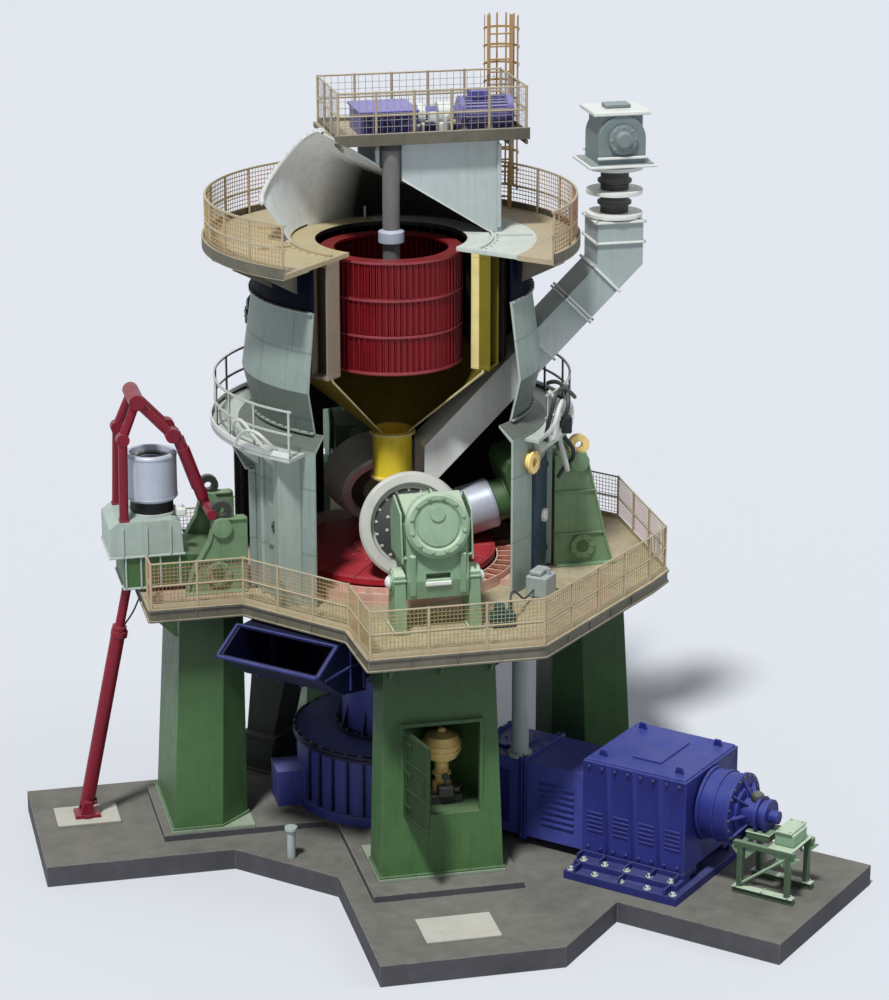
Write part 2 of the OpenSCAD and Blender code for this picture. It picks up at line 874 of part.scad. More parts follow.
module body_columns() {
    color(GREY)
        difference() {
            for (a = [0, 180]) toward(a)
                block([column_near, column_y0, deck_top], [column_far, column_y1, body_top - 200]);
            translate([0, 0, deck_top - lap]) cylinder(h = big, r = body_r + seat);
        }
    color(GREY)
        difference() {
            block([-column_far, column_y0, deck_top], [-column_near, column_y1, body_top - 200]);
            translate([0, 0, deck_top - lap]) cylinder(h = big, r = body_r + seat);
        }
}

module ring_walkway() {
    out = body_r + walk_w;
    color(WHITE)
        standing_turn()
            polygon([[body_r + seat, walk_z - 120], [out, walk_z - 120], [out, walk_z + 40],
                     [out - 40, walk_z + 40], [out - 40, walk_z - 40], [body_r + seat, walk_z - 40]]);
}

module walkway_railing() {
    color(WHITE) ring_railing(body_r + walk_w - 100, walk_z - 40 + seat, 18);
}

// ---------- classifier ----------

module classifier_shell() {
    t = shell_t;
    foot = body_top + cone_rise;
    color(GREY)
        difference() {
            standing_turn()
                polygon([[shell_foot_r - t, foot], [shell_foot_r, foot], [shell_belly_r, belly_z],
                         [band_foot_r, band_z], [band_foot_r - t, band_z], [shell_belly_r - t, belly_z]]);
            chute_slope(seat);
        }
}

module classifier_band() {
    color([0.06, 0.07, 0.2])
        standing_turn()
            polygon([[band_foot_r - shell_t, band_z + seat], [band_foot_r, band_z + seat],
                     [band_foot_r, cover_z], [band_foot_r - shell_t, cover_z]]);
}

module classifier_cover() {
    color(WHITE)
        standing_turn()
            polygon([[cover_in, cover_z], [cover_out, cover_z], [cover_out, ring_z], [cover_in, ring_z]]);
}

module guide_vanes() {
    low = rotor_z + 50;
    high = cover_z - seat;
    ring_t = 80;
    color([0.78, 0.7, 0.28]) {
        standing_turn() {
            translate([vane_in, low]) square([vane_out - vane_in, ring_t]);
            translate([vane_in, high - ring_t]) square([vane_out - vane_in, ring_t]);
        }
        for (k = [0 : vanes])
            rotate([0, 0, sector_start + 0.6 + (left_standing - 1.2) * k / vanes])
                block([vane_in, -20, low + ring_t - 1], [vane_out, 20, high - ring_t + 1]);
    }
}

module classifier_rotor() {
    band_t = 60;
    height = rotor_top - rotor_z;
    blade_r = rotor_r - 80;
    color([0.42, 0.05, 0.08]) {
        full_turn() {
            translate([0, rotor_z]) square([rotor_r, band_t]);
            for (k = [1 : rotor_bands])
                translate([rotor_r - 160, rotor_z + height * k / (rotor_bands + 1) - band_t / 2])
                    square([160, band_t]);
            translate([rotor_r - 330, rotor_top - band_t]) square([330, band_t]);
        }
        for (k = [0 : rotor_blades - 1])
            rotate([0, 0, 360 * k / rotor_blades]) translate([blade_r, 0, 0]) rotate([0, 0, 25])
                block([-75, -12, rotor_z + band_t - lap], [75, 12, rotor_top - band_t + lap]);
    }
    color([0.4, 0.4, 0.4])
        translate([0, 0, rotor_z + band_t - lap]) {
            cylinder(h = 900, r = 420);
            cylinder(h = deck_two + shaft_top - rotor_z - band_t, r = shaft_r);
        }
}

module grit_cone() {
    rim = vane_out - 150;
    color([0.72, 0.66, 0.15]) {
        full_turn()
            polygon([[tube_r - 30, tube_z], [tube_r, tube_z], [tube_r, cone_z + 20], [tube_r - 30, cone_z + 20]]);
        standing_turn()
            polygon([[tube_r - 20, cone_z], [rim, rotor_z - 10],
                     [rim, rotor_z + 50 - seat], [rim - 60, rotor_z + 50 - seat], [rim - 70, rotor_z],
                     [tube_r - 20, cone_z + 40]]);
    }
}

// ---------- upper platform ----------

module upper_platform() {
    color([0.68, 0.6, 0.46])
        standing_turn()
            polygon([[cover_out + seat, cover_z - 20], [ring_r, cover_z - 20], [ring_r, ring_z + 80],
                     [ring_r - 40, ring_z + 80], [ring_r - 40, ring_z], [cover_out + seat, ring_z]]);
}

module upper_railing() {
    color([0.68, 0.6, 0.46]) ring_railing(ring_r - 90, ring_z + seat, 20);
}

// ---------- outlet hood ----------

module hood_form(inset) {
    hull() {
        translate([0, 0, ring_z + seat]) cylinder(h = 30, r = hood_foot_r - inset, $fn = 48);
        translate(hood_open) rotate([0, -hood_face, 0])
            translate([0, 0, -20 + inset]) cylinder(h = 20, r = hood_open_r - inset, $fn = 48);
    }
}

module outlet_hood() {
    color([0.66, 0.71, 0.7])
        difference() {
            hood_form(0);
            hood_form(shell_t);
            translate([0, 0, -shell_t]) hood_form(shell_t);
            translate(hood_open) rotate([0, -hood_face, 0])
                translate([0, 0, -300]) cylinder(h = 900, r = hood_open_r - shell_t, $fn = 48);
            block([-6000, -6000, ring_z - 100], [6000, 0, 19000]);
            cylinder(h = big, r = shaft_r + 60);
        }
}

module drive_support() {
    t = 100;
    color(WHITE)
        difference() {
            block([support_left, support_front, ring_z + seat], [support_right, support_back, top_z]);
            block([support_left - t, support_front + t, ring_z - lap],
                  [support_right - t, support_back - t, top_z - t]);
            hood_form(-seat);
            cylinder(h = big, r = shaft_hole_r);
        }
}

module top_platform() {
    color([0.66, 0.6, 0.5])
        difference() {
            union() {
                block([top_left, top_front, top_z + seat], [top_right, top_back, deck_two]);
                block([top_left, top_front, deck_two - lap], [top_right, top_front + 60, deck_two + 150]);
            }
            cylinder(h = big, r = bearing_r + seat);
            hood_form(-20);
        }
}

module rotor_bearing() {
    bore = shaft_r + seat;
    flange = shaft_hole_r - 10;
    color([0.3, 0.31, 0.3])
        full_turn()
            polygon([[bore, top_z - 150], [flange, top_z - 150], [flange, top_z], [bearing_r, top_z],
                     [bearing_r, deck_two + shaft_top], [bore, deck_two + shaft_top]]);
}

module top_railing() {
    left = top_left + 100;
    right = top_right - 60;
    front = top_front + 110;
    back = top_back - 60;
    line = [[left, back], [left, front], [right, front], [right, back], [left, back]];
    color(TAN) railing(line, deck_two + seat, 1000);
}

module classifier_drive() {
    low = deck_two + seat;
    axis_z = low + 380;
    color([0.36, 0.33, 0.6]) {
        difference() {
            block([-650, 150, low], [650, 1500, low + 560]);
            translate([0, 0, low - lap]) cylinder(h = 300, r = shaft_hole_r);
        }
        translate([1750, 750, axis_z]) rotate([0, 90, 0]) cylinder(h = 1270, r = 330);
        translate([640, 750, axis_z]) rotate([0, 90, 0]) cylinder(h = 1120, r = 160);
        block([1800, 500, low], [2950, 1000, low + 120]);
    }
}

module access_ladder() {
    y = top_back + 60;
    low = ring_z + seat;
    stile = 35;
    rung_gap = 300;
    rungs = floor((ladder_top - low - rung_gap) / rung_gap);
    color([0.68, 0.56, 0.38]) {
        for (x = [ladder_x, ladder_x + ladder_w])
            block([x - stile, y - stile, low], [x + stile, y + stile, ladder_top]);
        for (k = [1 : rungs])
            bar([ladder_x, y, low + rung_gap * k], [ladder_x + ladder_w, y, low + rung_gap * k], 20, 8);
    }
}

// ---------- feed ----------

// The sloping part of the chute, grown by the given amount
module chute_slope(grow) {
    up = chute_d / 2 / cos(45) + grow;
    half = chute_w / 2 + grow;
    low = chute_bend_z - feed_x + chute_in_x;
    upright([[chute_in_x, low - up], [feed_x, chute_bend_z - up], [feed_x, chute_bend_z + up],
             [chute_in_x, low + up]], -half, half);
}

module chute_profile(inset) {
    up = chute_d / 2 / cos(45) - inset / cos(45);
    half = chute_w / 2 - inset;
    beyond = inset > 0 ? 5 : 0;
    shift = chute_bend_z - feed_x;
    start = chute_in_x - beyond;
    outer = feed_x + half;
    inner = feed_x - half;
    upright([[start, start + shift - up], [outer, outer + shift - up], [outer, neck_z + beyond],
             [inner, neck_z + beyond], [inner, inner + shift + up], [start, start + shift + up]], -half, half);
}

module feed_chute() {
    color(GREY)
        difference() {
            chute_profile(0);
            chute_profile(chute_t);
        }
}

module feed_bellows() {
    low = neck_z + seat;
    high = feeder_z - seat;
    h = high - low;
    color([0.4, 0.42, 0.42])
        translate([feed_x, 0, low]) full_turn()
            difference() {
                polygon([[0, 0], [620, 0], [620, 60], [330, 60], [330, 250], [400, 300], [400, 360], [330, 410],
                         [330, 560], [480, 560], [480, 620], [330, 620], [330, 760], [400, 810], [400, 870],
                         [330, 920], [330, h - 60], [620, h - 60], [620, h], [0, h]]);
                translate([-1, -1]) square([281, h + 2]);
            }
}

module rotary_feeder() {
    color(GREY)
        translate([feed_x, 0, feeder_z]) {
            block([-750, -650, 0], [750, 650, 80]);
            translate([0, 0, 640]) rotate([90, 0, 0]) cylinder(h = 1150, r = 560, center = true);
            block([-560, -575, 79], [560, 575, 640]);
            block([-500, -500, 640], [500, 500, 1280]);
            translate([0, 0, 640]) rotate([90, 0, 0]) cylinder(h = 1500, r = 200, center = true);
        }
}

// ---------- assembly ----------

foundation_plinth();
sole_plates();
cylinder_pads();
pedestal_front();
pedestal_left();
pedestal_right();
pedestal_back();
pedestal_door();
accumulator_base();
spring_accumulator();
gearbox();
drive_housing();
motor_body();
motor_rails();
motor_tail();
barring_stand();
gas_ring();
hot_gas_duct();
reject_chute();
service_deck();
deck_railing();
grinding_table();
nozzle_ring();
color(WHITE) large_frame(270) large_tyre();  // roller_front
rocker_arm(270);  // rocker_arm_front
arm_bearings(270);  // arm_bearings_front
color(WHITE) large_frame(90) large_tyre();  // roller_back
rocker_arm(90);  // rocker_arm_back
arm_bearings(90);  // arm_bearings_back
color([0.7, 0.7, 0.76]) small_frame(0, swing) small_tyre();  // roller_right
small_frame(0, swing) small_arm();  // swing_arm_right
guard_plates(0, guard_top);  // guard_plates_right
color([0.75, 0.8, 0.84]) small_frame(180, 0) small_tyre();  // roller_left
small_frame(180, 0) small_arm();  // swing_arm_left
guard_plates(180, guard_left_top);  // guard_plates_left
swing_cylinder();
lifting_frame();
mill_body();
body_columns();
ring_walkway();
walkway_railing();
classifier_shell();
classifier_band();
classifier_cover();
guide_vanes();
classifier_rotor();
grit_cone();
upper_platform();
upper_railing();
outlet_hood();
drive_support();
top_platform();
rotor_bearing();
top_railing();
classifier_drive();
access_ladder();
feed_chute();
feed_bellows();
rotary_feeder();
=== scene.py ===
# %% [markdown]
# # A vertical roller mill
# This lesson dresses the finished frame of a vertical roller mill. The mill grinds
# limestone or clinker between a turning table and heavy rollers, and a classifier above
# them sorts the dust. The frame holds every casting and plate at its real size, so the
# lesson only adds finishes and the smaller pieces: bolts, ribs, mesh, ladders and pipes.

# %% Load the frame
import json
import math
import bpy
from mathutils import Matrix, Vector


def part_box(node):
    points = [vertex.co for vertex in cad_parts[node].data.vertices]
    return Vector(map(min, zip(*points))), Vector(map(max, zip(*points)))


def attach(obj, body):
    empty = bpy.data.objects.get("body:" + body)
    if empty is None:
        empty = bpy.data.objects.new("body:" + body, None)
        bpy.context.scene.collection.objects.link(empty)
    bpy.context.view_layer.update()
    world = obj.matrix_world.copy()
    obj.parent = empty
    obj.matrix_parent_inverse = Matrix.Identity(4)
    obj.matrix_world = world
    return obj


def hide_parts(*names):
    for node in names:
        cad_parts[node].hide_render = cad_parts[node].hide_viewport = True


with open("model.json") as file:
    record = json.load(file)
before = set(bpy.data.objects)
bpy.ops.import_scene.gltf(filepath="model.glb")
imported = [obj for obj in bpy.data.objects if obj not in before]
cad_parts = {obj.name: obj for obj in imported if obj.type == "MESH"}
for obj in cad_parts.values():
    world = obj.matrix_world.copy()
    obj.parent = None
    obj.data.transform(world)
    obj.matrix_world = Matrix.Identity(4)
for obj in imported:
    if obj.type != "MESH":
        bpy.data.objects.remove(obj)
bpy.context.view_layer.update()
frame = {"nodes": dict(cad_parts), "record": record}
nodes = frame["nodes"]


# %% [markdown]
# ## Camera, floor and light
# The mill is looked at from a little left of the front and from above, through a long
# lens, as a catalogue picture of a large machine is. The floor and the background are
# one plain pale tone. A large soft sun from the front left gives the planes their
# different tones, and a pale world fills the shadows.

# %% Camera
LENS = 108
LOOK_DOWN = 18
HEADING = 13.2
STANDPOINT = (-14.20, -65.90, 29.96)
camera_data = bpy.data.cameras.new("camera")
camera_data.lens = LENS
camera_data.sensor_width = 36
camera_data.clip_end = 1000
camera = bpy.data.objects.new("camera", camera_data)
bpy.context.scene.collection.objects.link(camera)
camera.location = STANDPOINT
camera.rotation_euler = (math.radians(90 - LOOK_DOWN), 0, math.radians(-HEADING))
bpy.context.scene.camera = camera
bpy.context.scene.view_settings.view_transform = "Standard"
print("camera", LENS, "mm lens at", STANDPOINT)

# %% World
BACKDROP = (0.80, 0.82, 0.86, 1)
FILL, FILL_STRENGTH = (0.88, 0.92, 1.0, 1), 0.28


def add_world():
    """A pale fill, and a brighter backdrop for what the camera and mirror-like faces see."""
    world = bpy.data.worlds.new("studio")
    bpy.context.scene.world = world
    world.use_nodes = True
    tree = world.node_tree
    fill = tree.nodes["Background"]
    fill.inputs["Color"].default_value = FILL
    fill.inputs["Strength"].default_value = FILL_STRENGTH
    seen = tree.nodes.new("ShaderNodeBackground")
    seen.inputs["Color"].default_value = BACKDROP
    seen.inputs["Strength"].default_value = 1
    path = tree.nodes.new("ShaderNodeLightPath")
    either = tree.nodes.new("ShaderNodeMath")
    either.operation = "MAXIMUM"
    mix = tree.nodes.new("ShaderNodeMixShader")
    tree.links.new(path.outputs["Is Camera Ray"], either.inputs[0])
    tree.links.new(path.outputs["Is Glossy Ray"], either.inputs[1])
    tree.links.new(either.outputs["Value"], mix.inputs["Fac"])
    tree.links.new(fill.outputs["Background"], mix.inputs[1])
    tree.links.new(seen.outputs["Background"], mix.inputs[2])
    tree.links.new(mix.outputs["Shader"], tree.nodes["World Output"].inputs["Surface"])


add_world()


# %% Lamps
def add_sun(name, azimuth, elevation, strength, softness):
    """A sun that shines from the given compass direction, 0 being the front."""
    data = bpy.data.lights.new(name, "SUN")
    data.energy = strength
    data.angle = math.radians(softness)
    lamp = bpy.data.objects.new(name, data)
    lamp.rotation_euler = (math.radians(90 - elevation), 0, math.radians(-azimuth))
    bpy.context.scene.collection.objects.link(lamp)
    return lamp


add_sun("key", 34, 62, 3.2, 7)
add_sun("rim", -70, 30, 0.3, 30)


# %% Floor
FLOOR_TONE = (0.64, 0.66, 0.70, 1)


def add_floor():
    """A plain floor a hair below the foundation, so that the two never flicker."""
    bpy.ops.mesh.primitive_plane_add(size=900, location=(0, 0, -0.002))
    floor = bpy.context.object
    floor.name = "studio_floor"
    finish = bpy.data.materials.new("studio_floor")
    finish.use_nodes = True
    shader = finish.node_tree.nodes["Principled BSDF"]
    shader.inputs["Base Color"].default_value = FLOOR_TONE
    shader.inputs["Roughness"].default_value = 0.9
    shader.inputs["Specular IOR Level"].default_value = 0.1
    floor.data.materials.append(finish)


add_floor()
print("camera, lamps and floor are in place")


# %% [markdown]
# ## Shared effects of the finishes
# Painted steel is never one flat colour. Four effects are shared by many finishes, so
# each is a node group that is built once: the film of paint with its soft clouds and
# rain streaks, the worn and rounded edges, the dust that settles on level faces, and
# the weld seams between plates. A group only puts out colours, masks and heights, and
# the shader itself stays in each material.

# %% Group helpers
def new_group(name, inputs, outputs):
    """An empty shader group with named sockets."""
    group = bpy.data.node_groups.new(name, "ShaderNodeTree")
    for label, kind, value in inputs:
        socket = group.interface.new_socket(name=label, in_out="INPUT", socket_type=kind)
        if value is not None:
            socket.default_value = value
    for label, kind in outputs:
        group.interface.new_socket(name=label, in_out="OUTPUT", socket_type=kind)
    start = group.nodes.new("NodeGroupInput")
    end = group.nodes.new("NodeGroupOutput")
    return group, start, end


def maths(tree, operation, first, second=None, third=None):
    """A Math node whose inputs are numbers or the outputs of other nodes."""
    node = tree.nodes.new("ShaderNodeMath")
    node.operation = operation
    for socket, value in zip(node.inputs, (first, second, third)):
        feed(tree, socket, value)
    return node.outputs["Value"]


def feed(tree, socket, value):
    """Sets a socket to a plain value, or links it to another node's output."""
    if value is None:
        return
    if isinstance(value, bpy.types.NodeSocket):
        tree.links.new(value, socket)
    else:
        socket.default_value = value


def vector_maths(tree, operation, first, second=None):
    """A Vector Math node, whose answer is a number for a dot product or a length."""
    node = tree.nodes.new("ShaderNodeVectorMath")
    node.operation = operation
    feed(tree, node.inputs[0], first)
    feed(tree, node.inputs[1], second)
    return node.outputs["Value" if operation in ("DOT_PRODUCT", "LENGTH") else "Vector"]


def part_of(tree, vector, axis):
    """One of the three numbers of a place or a direction."""
    parts = tree.nodes.new("ShaderNodeSeparateXYZ")
    feed(tree, parts.inputs["Vector"], vector)
    return parts.outputs[axis]


def noise(tree, vector, scale, detail=3.0, roughness=0.5):
    """Soft random patches; a larger scale makes them smaller."""
    node = tree.nodes.new("ShaderNodeTexNoise")
    feed(tree, node.inputs["Vector"], vector)
    node.inputs["Scale"].default_value = scale
    node.inputs["Detail"].default_value = detail
    node.inputs["Roughness"].default_value = roughness
    return node.outputs["Fac"]


def stretch(tree, vector, scale):
    """Squeezes a pattern by its own amount along each axis."""
    node = tree.nodes.new("ShaderNodeMapping")
    feed(tree, node.inputs["Vector"], vector)
    node.inputs["Scale"].default_value = scale
    return node.outputs["Vector"]


def spread(tree, value, low, high, start=0.0, end=1.0):
    """Maps a value from one span to another, held within its ends."""
    node = tree.nodes.new("ShaderNodeMapRange")
    feed(tree, node.inputs["Value"], value)
    for label, number in (("From Min", low), ("From Max", high), ("To Min", start), ("To Max", end)):
        feed(tree, node.inputs[label], number)
    return node.outputs["Result"]


def mix_colour(tree, factor, first, second, blend="MIX"):
    """Mixes two colours. A Mix node has sockets for each kind of data, so they go by number."""
    node = tree.nodes.new("ShaderNodeMix")
    node.data_type = "RGBA"
    node.blend_type = blend
    feed(tree, node.inputs[0], factor)
    feed(tree, node.inputs[6], first)
    feed(tree, node.inputs[7], second)
    return node.outputs[2]


# %% The film of paint
def build_paint_film():
    """Soft clouds of tone, vertical rain streaks and a fine orange-peel height."""
    group, start, end = new_group(
        "paint_film",
        [("Vector", "NodeSocketVector", None), ("Colour", "NodeSocketColor", (0.5, 0.5, 0.5, 1)),
         ("Clouds", "NodeSocketFloat", 0.25), ("Streaks", "NodeSocketFloat", 0.2)],
        [("Colour", "NodeSocketColor"), ("Roughness", "NodeSocketFloat"), ("Height", "NodeSocketFloat")])
    place = start.outputs["Vector"]
    cloud = noise(group, place, 0.55, 4)
    patch = noise(group, place, 3.4, 5, 0.6)
    streak = noise(group, stretch(group, place, (5.0, 5.0, 0.32)), 1.6, 4, 0.6)
    peel = noise(group, place, 60, 2)
    tone = maths(group, "ADD", spread(group, cloud, 0.3, 0.7, -0.5, 0.5),
                 spread(group, patch, 0.3, 0.7, -0.4, 0.4))
    tone = maths(group, "MULTIPLY", tone, start.outputs["Clouds"])
    runs = maths(group, "MULTIPLY", spread(group, streak, 0.52, 0.74), start.outputs["Streaks"])
    light = maths(group, "SUBTRACT", maths(group, "ADD", tone, 1.0), runs)
    shade = group.nodes.new("ShaderNodeCombineColor")
    for socket in shade.inputs:
        group.links.new(light, socket)
    colour = mix_colour(group, 1.0, start.outputs["Colour"], shade.outputs["Color"], "MULTIPLY")
    group.links.new(colour, end.inputs["Colour"])
    group.links.new(spread(group, patch, 0.25, 0.75, -0.1, 0.1), end.inputs["Roughness"])
    height = maths(group, "ADD", maths(group, "MULTIPLY", patch, 0.5), maths(group, "MULTIPLY", peel, 0.12))
    group.links.new(height, end.inputs["Height"])
    return group


# %% Worn edges
def build_edge_wear():
    """How near a place is to a sharp edge, and the normal of that edge as if rounded."""
    group, start, end = new_group(
        "edge_wear",
        [("Vector", "NodeSocketVector", None), ("Radius", "NodeSocketFloat", 0.03)],
        [("Mask", "NodeSocketFloat"), ("Normal", "NodeSocketVector")])
    bevel = group.nodes.new("ShaderNodeBevel")
    bevel.samples = 4
    group.links.new(start.outputs["Radius"], bevel.inputs["Radius"])
    plain = group.nodes.new("ShaderNodeNewGeometry")
    likeness = vector_maths(group, "DOT_PRODUCT", bevel.outputs["Normal"], plain.outputs["Normal"])
    bend = spread(group, likeness, 0.99, 0.84)
    broken = spread(group, noise(group, start.outputs["Vector"], 7, 5, 0.7), 0.38, 0.62, 0.25, 1.0)
    group.links.new(maths(group, "MULTIPLY", bend, broken), end.inputs["Mask"])
    group.links.new(bevel.outputs["Normal"], end.inputs["Normal"])
    return group


# %% Settled dust
def build_settled_dust():
    """A mask of cement dust, which lies on faces that look up and gathers in patches."""
    group, start, end = new_group(
        "settled_dust",
        [("Vector", "NodeSocketVector", None), ("Amount", "NodeSocketFloat", 0.3)],
        [("Mask", "NodeSocketFloat")])
    plain = group.nodes.new("ShaderNodeNewGeometry")
    upward = spread(group, part_of(group, plain.outputs["Normal"], "Z"), 0.35, 0.95)
    patch = spread(group, noise(group, start.outputs["Vector"], 1.3, 6, 0.65), 0.35, 0.65, 0.35, 1.0)
    mask = maths(group, "MULTIPLY", maths(group, "MULTIPLY", upward, patch), start.outputs["Amount"])
    group.links.new(mask, end.inputs["Mask"])
    return group


# %% Weld seams
def build_plate_seams():
    """Thin raised lines every so many metres of height and every so many degrees."""
    group, start, end = new_group(
        "plate_seams",
        [("Vector", "NodeSocketVector", None), ("Rise", "NodeSocketFloat", 1.5),
         ("Sectors", "NodeSocketFloat", 12.0), ("Width", "NodeSocketFloat", 0.03)],
        [("Mask", "NodeSocketFloat")])
    parts = group.nodes.new("ShaderNodeSeparateXYZ")
    group.links.new(start.outputs["Vector"], parts.inputs["Vector"])
    level = maths(group, "DIVIDE", parts.outputs["Z"], start.outputs["Rise"])
    row = maths(group, "FLOOR", level)
    off_level = maths(group, "ABSOLUTE", maths(group, "SUBTRACT", maths(group, "FRACT", level), 0.5))
    flat = maths(group, "GREATER_THAN", off_level,
                 maths(group, "SUBTRACT", 0.5,
                       maths(group, "DIVIDE", start.outputs["Width"], start.outputs["Rise"])))
    turn = maths(group, "DIVIDE", maths(group, "ARCTAN2", parts.outputs["Y"], parts.outputs["X"]),
                 2 * math.pi)
    sector = maths(group, "MULTIPLY_ADD", turn, start.outputs["Sectors"], maths(group, "MULTIPLY", row, 0.5))
    off_sector = maths(group, "ABSOLUTE", maths(group, "SUBTRACT", maths(group, "FRACT", sector), 0.5))
    upright = maths(group, "GREATER_THAN", off_sector, 0.488)
    group.links.new(maths(group, "MAXIMUM", flat, upright), end.inputs["Mask"])
    return group


PAINT_FILM = build_paint_film()
EDGE_WEAR = build_edge_wear()
SETTLED_DUST = build_settled_dust()
PLATE_SEAMS = build_plate_seams()
print("groups", [group.name for group in bpy.data.node_groups])


# %% [markdown]
# ## The finishes
# Most of the mill is painted steel, so one function makes every paint: it sets the
# shared effects around a Principled shader and takes only what differs, such as colour,
# gloss and how much dust lies on it. The shells' inside is painted near-black as painted
# shade, and a place faces the mill's axis when its normal points inwards.

# %% A painted finish
DUST_COLOUR = (0.52, 0.50, 0.44, 1)
WORN_STEEL = (0.62, 0.62, 0.60, 1)


def use_group(tree, group, **values):
    """Places a shared effect in a material with its own values."""
    node = tree.nodes.new("ShaderNodeGroup")
    node.node_tree = group
    for label, value in values.items():
        feed(tree, node.inputs[label], value)
    return node


def normal_of(tree):
    """The direction that a face looks in."""
    return tree.nodes.new("ShaderNodeTexCoord").outputs["Normal"]


def on_plan(tree, place):
    """A place seen on plan, with its height taken away."""
    return vector_maths(tree, "MULTIPLY", place, (1, 1, 0))


def facing_axis(tree, place):
    """1 where a face looks towards the mill's upright axis."""
    return spread(tree, vector_maths(tree, "DOT_PRODUCT", on_plan(tree, place), normal_of(tree)), -0.05, -0.4)


def cut_face(tree, place):
    """1 on the faces that a cutaway leaves: upright, and edge-on to the mill's axis."""
    normal = normal_of(tree)
    away = vector_maths(tree, "NORMALIZE", on_plan(tree, place))
    off_edge = maths(tree, "ABSOLUTE", vector_maths(tree, "DOT_PRODUCT", away, normal))
    slant = maths(tree, "ABSOLUTE", part_of(tree, normal, "Z"))
    return maths(tree, "MULTIPLY", spread(tree, off_edge, 0.1, 0.04), spread(tree, slant, 0.3, 0.1))


def looking(tree, above, below):
    """1 where a face looks lower than one tilt, 0 where it looks higher than another."""
    return spread(tree, part_of(tree, normal_of(tree), "Z"), above, below)


def paint(name, colour, roughness=0.5, clouds=0.22, streaks=0.18, wear=0.25, dust=0.3,
          radius=0.03, seams=None, inside=None, grime=None, metallic=0.0, bump=0.25, worn=WORN_STEEL,
          sides=None, cut=None):
    """A paint film with wear, dust and seams, and painted light and shade: a side tone on faces
    that don't look up, darker faces that look down, a near-black inside for a shell, and paler cut faces.

    After the colour come its roughness, clouds, streaks, worn edges and dust, and how far an
    edge is rounded, in metres. A colour is four values, or a function that works one out.
    """
    finish = bpy.data.materials.new(name)
    finish.use_nodes = True
    tree = finish.node_tree
    shader = tree.nodes["Principled BSDF"]
    place = tree.nodes.new("ShaderNodeTexCoord").outputs["Object"]
    base = colour(tree, place) if callable(colour) else colour
    # Faces that look towards the axis take the inside tone: near-black painted shade inside the shells
    if inside:
        base = mix_colour(tree, facing_axis(tree, place), base, inside)
    # Faces that do not look up take the side tone: painted shade, and on the drive housing painted light
    if sides:
        base = mix_colour(tree, looking(tree, 0.6, 0.2), base, sides)
    # Faces that the cutaway leaves are painted paler: a painted highlight on the cut
    if cut:
        base = mix_colour(tree, cut_face(tree, place), base, cut)
    # Faces that look down are painted darker: painted shade under things
    if grime:
        base = mix_colour(tree, looking(tree, 0.0, -0.3), base, grime)
    film = use_group(tree, PAINT_FILM, Vector=place, Colour=base, Clouds=clouds, Streaks=streaks)
    edges = use_group(tree, EDGE_WEAR, Vector=place, Radius=radius)
    settled = use_group(tree, SETTLED_DUST, Vector=place, Amount=dust)
    worn_in = maths(tree, "MULTIPLY", edges.outputs["Mask"], wear)
    shown = mix_colour(tree, worn_in, film.outputs["Colour"], worn)
    shown = mix_colour(tree, settled.outputs["Mask"], shown, DUST_COLOUR)
    height = film.outputs["Height"]
    if seams:
        rise, sectors = seams
        lines = use_group(tree, PLATE_SEAMS, Vector=place, Rise=rise, Sectors=sectors)
        shown = mix_colour(tree, maths(tree, "MULTIPLY", lines.outputs["Mask"], 0.2), shown, (0, 0, 0, 1))
        height = maths(tree, "ADD", height, maths(tree, "MULTIPLY", lines.outputs["Mask"], 0.6))
    tree.links.new(shown, shader.inputs["Base Color"])
    gloss = maths(tree, "ADD", maths(tree, "ADD", film.outputs["Roughness"], roughness),
                  maths(tree, "MULTIPLY", settled.outputs["Mask"], 0.3))
    tree.links.new(gloss, shader.inputs["Roughness"])
    shader.inputs["Metallic"].default_value = metallic
    shader.inputs["Specular IOR Level"].default_value = 0.3
    relief = tree.nodes.new("ShaderNodeBump")
    relief.inputs["Strength"].default_value = bump
    relief.inputs["Distance"].default_value = 0.02
    tree.links.new(height, relief.inputs["Height"])
    tree.links.new(edges.outputs["Normal"], relief.inputs["Normal"])
    tree.links.new(relief.outputs["Normal"], shader.inputs["Normal"])
    return finish


# %% The paints of this mill
def srgb(red, green, blue):
    """A colour named in screen values, as the shader's linear ones, and fully opaque."""
    parts = [value / 255 for value in (red, green, blue)]
    linear = [part / 12.92 if part <= 0.04045 else ((part + 0.055) / 1.055) ** 2.4 for part in parts]
    return (*linear, 1)


def radius_of(tree, place):
    """How far a place is from the mill's upright axis."""
    return vector_maths(tree, "LENGTH", on_plan(tree, place))


# %% Colours that change over a piece
def rotor_colours(tree, place):
    """Red blades on a grey shaft and hub."""
    blades = spread(tree, radius_of(tree, place), 0.44, 0.46)
    return mix_colour(tree, blades, srgb(112, 112, 110), srgb(120, 16, 24))


def hood_colours(tree, place):
    """Pale paint, and near-black painted shade on the inside towards the rotor."""
    inside_shade = maths(tree, "MULTIPLY", facing_axis(tree, place),
                 spread(tree, part_of(tree, place, "X"), -1.4, -0.4))
    return mix_colour(tree, inside_shade, srgb(238, 244, 242), srgb(22, 24, 22))


def parked_arm_colours(tree, place):
    """Green arm, pale seat above it and a black foot under the roller."""
    height = part_of(tree, place, "Z")
    seat = mix_colour(tree, spread(tree, height, 7.37, 7.372), srgb(74, 108, 66), srgb(168, 184, 174))
    return mix_colour(tree, spread(tree, height, 8.241, 8.243), seat, srgb(16, 16, 18))


def mesh_colours(tree, place):
    """Tan wire that has faded to pink and rust in patches."""
    patch = spread(tree, noise(tree, place, 0.35, 3), 0.42, 0.62)
    return mix_colour(tree, patch, srgb(196, 176, 122), srgb(206, 150, 124))


